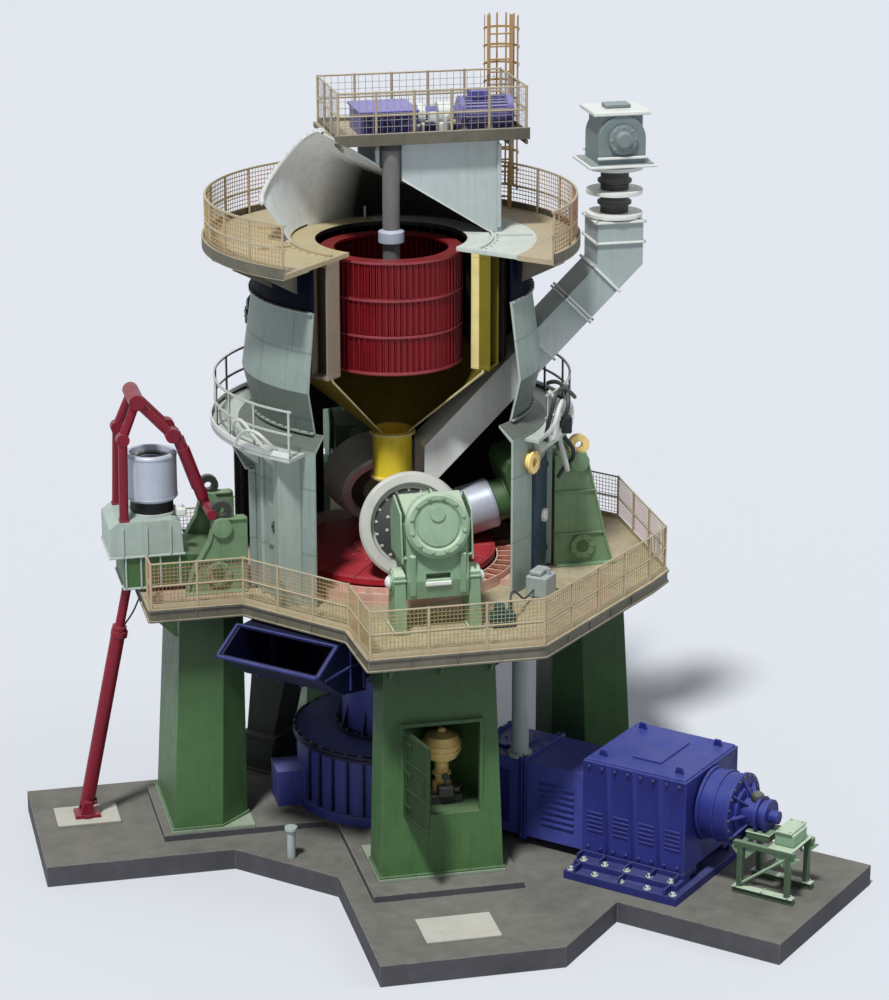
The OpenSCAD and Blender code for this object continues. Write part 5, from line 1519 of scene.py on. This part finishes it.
settle([block((-5.22, -0.62, 8.245), (-5.0, -0.36, 8.42), 0.02),
        rod((-5.1, -0.5, 8.42), (-5.1, -0.5, 8.5), 0.05, 12)],
       "parking_valve", "white_paint", finish=CLEAN_WHITE)
print("swing gear fitted")


# %% [markdown]
# ## Housing and walkway
# The housing is thin plate, so it is stiffened outside: upright ribs at the back, flange
# rings where the shells are bolted together, window frames, and inspection doors with
# hinges and a bolted boss. The walkway has a white kerb and brackets under it.

# %% Housing plates
# The front quarter is cut away: where the wall starts and how far it runs, in degrees
STANDING = (315, 270)


def shell_door(radius, azimuth, low_z, high_z, half_span, handle=0.06):
    """A door bent to the wall, with a rim, two hinges and a round boss in the middle."""
    parts = [ring(radius, radius + 0.03, low_z, high_z, 8, azimuth - half_span, 2 * half_span),
             ring(radius + 0.028, radius + 0.05, low_z + 0.06, high_z - 0.06, 8, azimuth - half_span + 1.2,
                  2 * half_span - 2.4)]
    middle = turned_by(azimuth) @ at(radius + 0.05, 0, (low_z + high_z) / 2) @ turned_by(90, "Y")
    for z in (low_z + 0.25, high_z - 0.35):
        parts.append(moved(rod((radius + 0.04, 0, z), (radius + 0.04, 0, z + 0.12), 0.035, 12),
                           turned_by(azimuth + half_span + 0.4)))
    boss = [moved(rod((0, 0, 0), (0, 0, handle), 0.16, 24), middle),
            moved(bolts(0.02, [turn @ at(0.12, 0, handle) for turn in around(6)]), middle)]
    return parts, boss


# %% Shadow panel and spray port
# A dark blue panel shaped as a door, with a boss, covers the wall right of the cut: painted shade
panel, boss = shell_door(BODY_R, 331, DECK + 0.2, DECK + 2.85, 10, 0.09)
settle(panel, "shadow_panel", "dark_blue_paint", finish=SHADOW_PANEL_BLUE)
settle(boss, "shadow_panel_boss", "white_paint", finish=CLEAN_WHITE)
port = turned_by(318) @ at(BODY_R, 0, DECK + 3.05) @ turned_by(90, "Y")
port_body = turned([(0.11, 0), (0.2, 0), (0.2, 0.1), (0.27, 0.1), (0.27, 0.16), (0.11, 0.16), (0.11, 0)], 32)
settle(moved([port_body, bolt_ring(0.02, 0.235, 0.16, 8)], port), "spray_port", "gold_paint")
settle(moved(rod((0, 0, 0), (0, 0, 0.06), 0.105, 24), port), "spray_port_eye", "dark_grey_paint")
# %% Wall ribs, small doors and window frames
plates, knobs = [], []
for azimuth in (38, 142, 212):
    panel, boss = shell_door(BODY_R, azimuth, DECK + 1.2, DECK + 2.3, 6)
    plates += panel
    knobs += boss
for azimuth in (24, 31, 50, 58, 66, 114, 122, 130, 154, 161, 203, 221):
    plates.append(moved(block((BODY_R - 0.005, -0.012, DECK + 0.02), (BODY_R + 0.09, 0.012, 10.04), 0),
                        turned_by(azimuth)))
for azimuth in (0, 90, 180):
    frame_parts = [block((3.44, side * 1.04 - 0.035, DECK + 0.06), (3.6, side * 1.04 + 0.035, DECK + 2.97),
                         0.006) for side in (-1, 1)]
    frame_parts.append(block((3.47, -1.075, DECK + 2.905), (3.68, 1.075, DECK + 2.98), 0.006))
    plates += moved(frame_parts, turned_by(azimuth))
plates.append(ring(BODY_R - 0.01, BODY_R + 0.07, DECK + 0.002, DECK + 0.04, 96, 344, 0.1))
settle(plates, "housing_plates", "housing_grey", finish=BODY_GREY)
settle(knobs, "housing_knobs", "dark_grey_paint")
# %% Shell flanges and upper doors
flanges = [ring(radius - 0.01, radius + 0.07, z, z + 0.05, 96, *STANDING)
           for radius, z in ((3.24, 10.5), (3.23, 13.27))]
for azimuth in (68, 112, 158):
    panel, boss = shell_door(3.34, azimuth, 12.1, 12.9, 6.5)
    flanges += panel + boss
settle(flanges, "shell_flanges", "housing_grey")
settle([bolt_ring(0.022, 3.285, 10.55, 60, 317, 266, True),
        bolt_ring(0.022, 3.27, 13.32, 60, 317, 266, True)],
       "shell_bolts", "dark_grey_paint")

# %% Walkway kerb and brackets
WALK_R = high("ring_walkway")[0]
kerb = [ring(WALK_R - 0.03, WALK_R + 0.012, WALK + 0.02, WALK + 0.15, 96, *STANDING)]
bracket = upright_plate([(BODY_R + 0.01, WALK - 0.09), (WALK_R - 0.08, WALK - 0.09),
                         (WALK_R - 0.08, WALK - 0.14),
                         (BODY_R + 0.01, WALK - 0.6)], -0.012, 0.012)
kerb.append(copies(bracket, clear_turns(range(322, 580, 14), (0, 90, 180), 18)))
settle(kerb, "walkway_kerb", "white_paint", finish=CLEAN_WHITE)
print("housing and walkway dressed")


# %% [markdown]
# ## Classifier
# The rotor is a cage: between the frame's blades stand thinner ones, so from outside it
# reads as a red drum through which the grey shaft and its hubs can just be seen. The
# cone ends in a collar on the yellow discharge tube.

# %% Rotor blades and shaft hubs
ROTOR_LOW, ROTOR_TOP = low("classifier_rotor")[2] + 0.06, 14.14
vane = moved(block((-0.062, -0.005, ROTOR_LOW), (0.062, 0.005, ROTOR_TOP), 0), at(1.602) @ turned_by(76))
settle([copies(vane, around(72, 2.5)), ring(1.5, 1.652, ROTOR_LOW - 0.055, ROTOR_LOW + 0.02, 96)],
       "rotor_cage", "rotor_red", "rotor")
middles = [ROTOR_LOW + (ROTOR_TOP - ROTOR_LOW) * third / 3 for third in (1, 2)]
bands = [ring(1.648, 1.662, z - 0.025, z + 0.025, 96) for z in middles]
bands += [ring(1.648, 1.658, z, z + 0.05, 96) for z in (ROTOR_LOW - 0.04, ROTOR_TOP)]
settle(bands, "rotor_bands", "rotor_red", "rotor", BAND_ROSE)
hubs = [turned([(0.195, z), (radius, z), (radius, z + tall), (0.195, z + tall + 0.05)], 40)
        for z, radius, tall in ((12.5, 0.5, 0.12), (12.85, 0.34, 0.3), (13.55, 0.3, 0.2), (14.3, 0.3, 0.25))]
settle(hubs, "rotor_hubs", "rotor_red", "rotor", FINISHES["small_tyre_steel"])

# %% Cone collar and cover plates
settle([ring(0.455, 0.54, 9.74, 9.8, 48), ring(0.455, 0.52, 8.66, 8.72, 48), bolt_ring(0.018, 0.5, 9.8, 16)],
       "cone_collar", "cone_yellow", finish=COLLAR_YELLOW)
cover_rim = [ring(2.3, 2.36, RING, RING + 0.05, 96, 317, 266),
             bolt_ring(0.02, 2.45, RING, 40, 319, 262, True)]
for azimuth in (350, 30, 70, 110, 150, 190):
    cover_rim.append(moved(block((2.45, -0.015, RING), (3.25, 0.015, RING + 0.06), 0.004),
                           turned_by(azimuth)))
settle(cover_rim, "cover_rims", "white_paint", finish=COVER_PALE)

# %% Ring platform
platform = [ring(4.3, 4.345, RING - 0.1, RING + 0.15, 96, *STANDING)]
strut = upright_plate([(3.3, RING - 0.1), (4.3, RING - 0.1), (4.3, RING - 0.17), (3.28, RING - 0.7)], -0.012,
                      0.012)
platform.append(copies(strut, around(18, 322, 256, True)))
settle(platform, "platform_kerb", "tan_paint")
settle(wire_ring(4.25, RING + 0.16, RING + 1.05, 316, 268, 0.1, 0.008), "platform_mesh", "railing_paint",
       finish=MESH_TAN)
print("classifier dressed")

# %% [markdown]
# ## Hood and top floor
# The outlet hood ends in a bolted flange for the gas pipe. Above it the top floor holds
# the rotor's drive: a gear unit with cooling fins, a guarded coupling and a ribbed motor.

# %% Outlet hood flanges
HOOD_MOUTH, HOOD_LEAN = Vector((-2.28, 0, 16.15)), 48
mouth_turn = at(*HOOD_MOUTH) @ turned_by(-HOOD_LEAN, "Y")
hood_parts = [moved(ring(1.0, 1.12, -0.045, 0.015, 48, 0, 180), mouth_turn),
              moved(bolt_ring(0.022, 1.075, 0.015, 14, 4, 172, True), mouth_turn),
              ring(2.33, 2.44, RING + 0.001, RING + 0.045, 48, 62, 118)]
settle(hood_parts, "hood_flanges", "housing_grey", finish=CLEAN_WHITE)

# %% Drive support
SIDE_X, FRONT_Y, BACK_Y = 2.56, 0.02, 2.1
RIB_OUT = 0.05
ribs = [block((2.5, FRONT_Y - RIB_OUT, RING + 0.1), (2.6, FRONT_Y, TOP - 0.25), 0.01),
        block((SIDE_X, FRONT_Y, RING), (SIDE_X + 0.07, BACK_Y, RING + 0.08), 0.01),
        block((SIDE_X, 0.1, RING + 1.0), (SIDE_X + RIB_OUT, 2.0, RING + 1.06), 0.01),
        block((-0.3, BACK_Y, RING + 0.9), (2.5, BACK_Y + RIB_OUT, RING + 0.96), 0.01)]
ribs += [block((SIDE_X, y, RING + 0.08), (SIDE_X + RIB_OUT, y + 0.06, TOP - 0.25), 0.01) for y in (0.7, 1.4)]
ribs += [block((x, BACK_Y, RING), (x + RIB_OUT, BACK_Y + RIB_OUT, TOP - 0.2), 0.01)
         for x in (-0.2, 0.6, 1.4, 2.3)]
settle(ribs, "support_ribs", "white_paint", finish=SUPPORT_WHITE)

# %% Rotor drive
DRIVE_Y, MOTOR_AXIS = 0.75, TOP + 0.38
gear = [block((-0.7, 0.1, TOP + 0.52), (0.7, 1.55, TOP + 0.6), 0.02),
        block((-0.72, 0.08, TOP), (0.72, 0.16, TOP + 0.06), 0.01)]
gear += [block((x, 0.1, TOP + 0.08), (x + 0.035, 0.16, TOP + 0.52), 0.006)
         for x in (-0.62, -0.4, -0.18, 0.05, 0.27, 0.49)]
settle(gear, "drive_gear_plates", "violet_paint", finish=GEAR_VIOLET)
grilles = [block((x, 0.12, z), (x + 0.16, 0.155, z + 0.17), 0.004) for x in (-0.58, -0.36, -0.14, 0.09, 0.31)
           for z in (TOP + 0.09, TOP + 0.31)]
settle(grilles, "drive_gear_grilles", "dark_blue_paint", finish=GRILLE_DARK)
to_motor = at(1.75, DRIVE_Y, MOTOR_AXIS) @ turned_by(90, "Y")
to_coupling = at(0.64, DRIVE_Y, MOTOR_AXIS) @ turned_by(90, "Y")
fins = [moved(block((0.32, -0.008, 0.12), (0.365, 0.008, 1.1), 0), to_motor @ turn) for turn in around(28)]
motor = fins + [moved(ring(0.3, 0.37, 0.02, 0.1, 40), to_motor),
                moved(ring(0.3, 0.37, 1.12, 1.24, 40), to_motor),
                block((2.0, 0.55, TOP + 0.7), (2.4, 0.95, TOP + 0.9), 0.02)]
settle(motor, "drive_motor_fins", "violet_paint", finish=GEAR_VIOLET)
guard = [moved(ring(0.155, 0.24, 0.12, 0.3, 32), to_coupling),
         moved(ring(0.155, 0.26, 0.6, 0.95, 32), to_coupling),
         block((0.8, 0.3, TOP), (1.55, 0.5, TOP + 0.22), 0.02),
         block((0.95, 0.2, TOP), (1.15, 0.36, TOP + 0.5), 0.02),
         rod((1.35, 0.25, TOP), (1.35, 0.25, TOP + 0.42), 0.06, 12)]
settle(guard, "coupling_guard", "white_paint", finish=CLEAN_WHITE)
lube = [block((0.82, -0.02, TOP + 0.02), (1.06, 0.16, TOP + 0.3), 0.02),
        block((1.4, 0.0, TOP + 0.02), (1.62, 0.16, TOP + 0.26), 0.02),
        block((1.9, 0.28, TOP + 0.02), (2.3, 0.44, TOP + 0.26), 0.02),
        block((2.5, 0.28, TOP + 0.02), (2.9, 0.44, TOP + 0.2), 0.02)]
settle(lube, "drive_side_blocks", "dark_grey_paint", finish=GRILLE_DARK)

# %% Top floor edge and ladder cage
TOP_RAIL = [(-1.25, -0.19), (3.14, -0.19), (3.14, 2.24), (-1.25, 2.24), (-1.25, -0.19)]
floor_edge = [strip(start, end, TOP, TOP + 0.1, 0.012) for start, end in zip(TOP_RAIL, TOP_RAIL[1:])]
floor_edge += [block((x, -0.28, TOP - 0.24), (x + 0.06, 2.28, TOP - 0.14), 0.01)
               for x in (-1.2, -0.4, 2.7, 3.1)]
settle(floor_edge, "top_floor_edge", "tan_paint")
settle([wire_panel(start, end, TOP + 0.14, TOP + 1.05, 0.16, 0.006)
        for start, end in zip(TOP_RAIL, TOP_RAIL[1:])],
       "top_floor_mesh", "railing_paint", finish=MESH_GREY)
LADDER_LOW, LADDER_TOP = low("access_ladder")[2], high("access_ladder")[2]
CAGE_PLACE = at(3.2, 2.42) @ turned_by(60)
CAGE_FOOT, HOOP_GAP = LADDER_LOW + 0.5, 0.42
hoop_count = math.ceil((LADDER_TOP - CAGE_FOOT) / HOOP_GAP)
cage = [moved(ring(0.4, 0.43, 0, 0.05, 20, -100, 200), CAGE_PLACE @ at(z=CAGE_FOOT + HOOP_GAP * index))
        for index in range(hoop_count)]
cage += [moved(block((0.395, -0.02, CAGE_FOOT), (0.41, 0.02, LADDER_TOP - 0.02), 0),
               CAGE_PLACE @ turned_by(turn))
         for turn in (-95, -62, -31, 0, 31, 62, 95)]
settle(cage, "ladder_cage", "railing_paint", finish=LADDER_TAN)
print("top floor dressed")


# %% [markdown]
# ## Feed
# Raw material drops through a rotary valve and a bellows into a sloping chute. The chute
# is bolted together from lengths, so flanges stand round it square to its run.

# %% Chute flanges, bellows rings and rotary valve
CHUTE_RISE = 8.28
CHUTE_HALF = 0.4
FEED_X, VALVE_LOW, VALVE_Z, VALVE_HIGH = 5.32, 15.9, 16.55, 17.2
BELLOWS_RINGS = (14.66, 15.2, 15.78)


def chute_collar(x, half=0.55, out=0.06):
    """A frame round the sloping chute, square to its run, at a place along X."""
    centre = at(x, 0, CHUTE_RISE + x) @ turned_by(-45, "Y")
    bars = [block((-0.03, -half - out, CHUTE_HALF), (0.03, half + out, CHUTE_HALF + out), 0.006),
            block((-0.03, -half - out, -CHUTE_HALF - out), (0.03, half + out, -CHUTE_HALF), 0.006),
            block((-0.03, half, -CHUTE_HALF - out), (0.03, half + out, CHUTE_HALF + out), 0.006),
            block((-0.03, -half - out, -CHUTE_HALF - out), (0.03, -half, CHUTE_HALF + out), 0.006)]
    return moved(bars, centre)


chute_parts = []
for x in (3.45, 4.3, 4.36, 5.0):
    chute_parts += chute_collar(x)
for z in (14.1, 14.58):
    chute_parts += [block((FEED_X - 0.61, y, z), (FEED_X + 0.61, y + 0.06, z + 0.05), 0.006)
                    for y in (-0.61, 0.55)]
    chute_parts += [block((x, -0.61, z), (x + 0.06, 0.61, z + 0.05), 0.006)
                    for x in (FEED_X - 0.61, FEED_X + 0.55)]
settle(chute_parts, "chute_flanges", "housing_grey", finish=CLEAN_WHITE)
bellows = [moved(turned([(0.3, z), (0.66, z), (0.66, z + 0.09), (0.3, z + 0.09)], 40), at(FEED_X))
           for z in BELLOWS_RINGS]
settle(bellows, "bellows_rings", "white_paint", finish=CLEAN_WHITE)
valve = [block((FEED_X - 0.82, -0.72, VALVE_LOW), (FEED_X + 0.82, 0.72, VALVE_LOW + 0.06), 0.01),
         block((FEED_X - 0.7, -0.62, VALVE_HIGH - 0.1), (FEED_X + 0.66, 0.62, VALVE_HIGH), 0.02)]
valve += [block((FEED_X - 0.6, y, 16.1), (FEED_X + 0.6, y + 0.06, 16.16), 0.01) for y in (-0.66, 0.6)]
settle(valve, "valve_plates", "housing_grey", finish=CLEAN_WHITE)
front_end = at(FEED_X, -0.62, VALVE_Z) @ turned_by(90, "X")
back_end = at(FEED_X, 0.6, VALVE_Z) @ turned_by(-90, "X")
ends = [moved(turned([(0, 0), (0.34, 0), (0.34, 0.05), (0.2, 0.07), (0.16, 0.16), (0, 0.16)], 32), front_end),
        moved(bolt_ring(0.022, 0.28, 0.05, 8), front_end),
        moved(turned([(0, 0), (0.26, 0), (0.26, 0.5), (0.2, 0.56), (0, 0.56)], 28), back_end),
        block((FEED_X - 0.3, -0.2, VALVE_HIGH), (FEED_X + 0.3, 0.2, VALVE_HIGH + 0.1), 0.02)]
settle(ends, "valve_ends", "dark_grey_paint", finish=FEEDER_GREY)
print("feed dressed")


# %% [markdown]
# ## Pipework and auxiliaries
# Last come the things around the mill: a valve block and a lubricator on the deck, the
# grease and water pipes that hang from the walkway, a riser pipe and a marker post.

# %% Valve block and lubricator
block_parts = [block((1.2, -4.95, DECK + SEAT), (1.75, -4.6, DECK + 0.34), 0.03),
               block((1.28, -4.88, DECK + 0.34), (1.52, -4.66, DECK + 0.52), 0.02),
               rod((1.65, -4.78, DECK + 0.34), (1.65, -4.78, DECK + 0.56), 0.05, 12),
               rod((1.2, -4.8, DECK + 0.2), (1.08, -4.8, DECK + 0.2), 0.06, 12)]
settle(block_parts, "valve_block", "dark_grey_paint", finish=TEAL)
cabinet = [block((-0.26, -0.3, DECK + SEAT), (0.26, 0.3, DECK + 0.5), 0.03),
           block((-0.2, -0.24, DECK + 0.5), (0.1, 0.24, DECK + 0.62), 0.03),
           rod((0.18, 0, DECK + 0.5), (0.18, 0, DECK + 0.66), 0.05, 12)]
settle(moved(cabinet, at(2.85, -2.95) @ turned_by(-40)), "lubricator", "white_paint", finish=PALE_GREY)
settle([pipe([(1.65, -4.78, DECK + 0.55), (1.7, -4.6, DECK + 0.8), (2.0, -4.2, DECK + 0.5),
              (2.3, -3.6, DECK + 0.1), (2.65, -3.1, DECK + 0.2)], 0.025)],
       "lubricator_pipe", "dark_grey_paint", finish=PIPE_BLACK)

# %% Walkway pipes
PIPE_TURN = turned_by(-6)
white_runs = [[(3.1, -2.55, 10.2), (3.35, -2.9, 10.5), (3.5, -2.7, 11.0), (3.7, -2.2, 11.1),
               (3.72, -2.1, 10.4)],
              [(3.3, -2.4, 11.3), (3.55, -2.5, 11.0), (3.9, -1.9, 10.9), (4.0, -1.5, 10.4),
               (3.85, -1.2, 10.2)],
              [(3.6, -2.0, 10.15), (3.75, -2.25, 9.6), (3.85, -2.0, 9.2), (3.8, -1.6, 9.4),
               (3.7, -1.5, 10.1)]]
black_runs = [[(3.2, -2.6, 10.2), (3.3, -2.8, 10.9), (3.5, -2.5, 11.4), (3.85, -2.1, 11.2),
               (4.05, -1.6, 10.9)],
              [(3.45, -2.2, 10.2), (3.7, -2.6, 10.7), (3.8, -2.3, 11.2), (3.6, -1.8, 11.4),
               (3.45, -1.4, 11.2)],
              [(3.65, -1.9, 10.15), (3.95, -2.1, 9.9), (4.0, -1.9, 9.5), (3.85, -1.6, 9.3),
               (3.66, -1.7, 9.0)]]
white = [pipe(points, 0.055) for points in white_runs]
white.append(rod((3.45, -2.5, 10.18), (3.45, -2.5, 10.75), 0.1, 16))
settle(moved(white, PIPE_TURN), "white_pipes", "white_paint", finish=PIPE_WHITE)
black = [pipe(points, 0.05) for points in black_runs]
black.append(block((3.66, -2.2, 10.2), (3.9, -1.95, 10.6), 0.03))
settle(moved(black, PIPE_TURN), "black_pipes", "dark_grey_paint", finish=PIPE_BLACK)
left_runs = [[(-3.15, -2.5, 10.2), (-3.4, -2.8, 10.5), (-3.7, -2.6, 10.8), (-3.95, -2.0, 10.6),
              (-4.0, -1.7, 10.2)],
             [(-3.4, -2.3, 10.2), (-3.7, -2.3, 10.6), (-3.9, -1.9, 10.9), (-4.0, -1.3, 10.6),
              (-3.9, -1.0, 10.2)]]
settle([pipe(points, 0.04) for points in left_runs], "left_pipes", "white_paint", finish=PIPE_WHITE)

# %% Riser and marker post
PLINTH_TOP, FLANGE = 0.5, 0.09


def upright_bar(x, y, stretches, sides):
    """Round lengths that stand over one another, each with its two levels and its radius."""
    return [rod((x, y, z_low), (x, y, z_high), radius, sides) for z_low, z_high, radius in stretches]


riser = upright_bar(3.9, -0.62, [(DRIVE_TOP, DECK_UNDER, 0.2), (DRIVE_TOP, DRIVE_TOP + FLANGE, 0.29),
                                 (DECK_UNDER - FLANGE, DECK_UNDER, 0.29)], 32)
post = upright_bar(-3.1, -3.0, [(PLINTH_TOP, PLINTH_TOP + 0.75, 0.1),
                                (PLINTH_TOP + 0.7, PLINTH_TOP + 0.78, 0.15)], 24)
settle(moved(riser, MOTOR_TURN) + post, "riser_pipe", "white_paint", finish=PALE_GREY)
print("pieces made in the lesson:", len(made_pieces))


# %% [markdown]
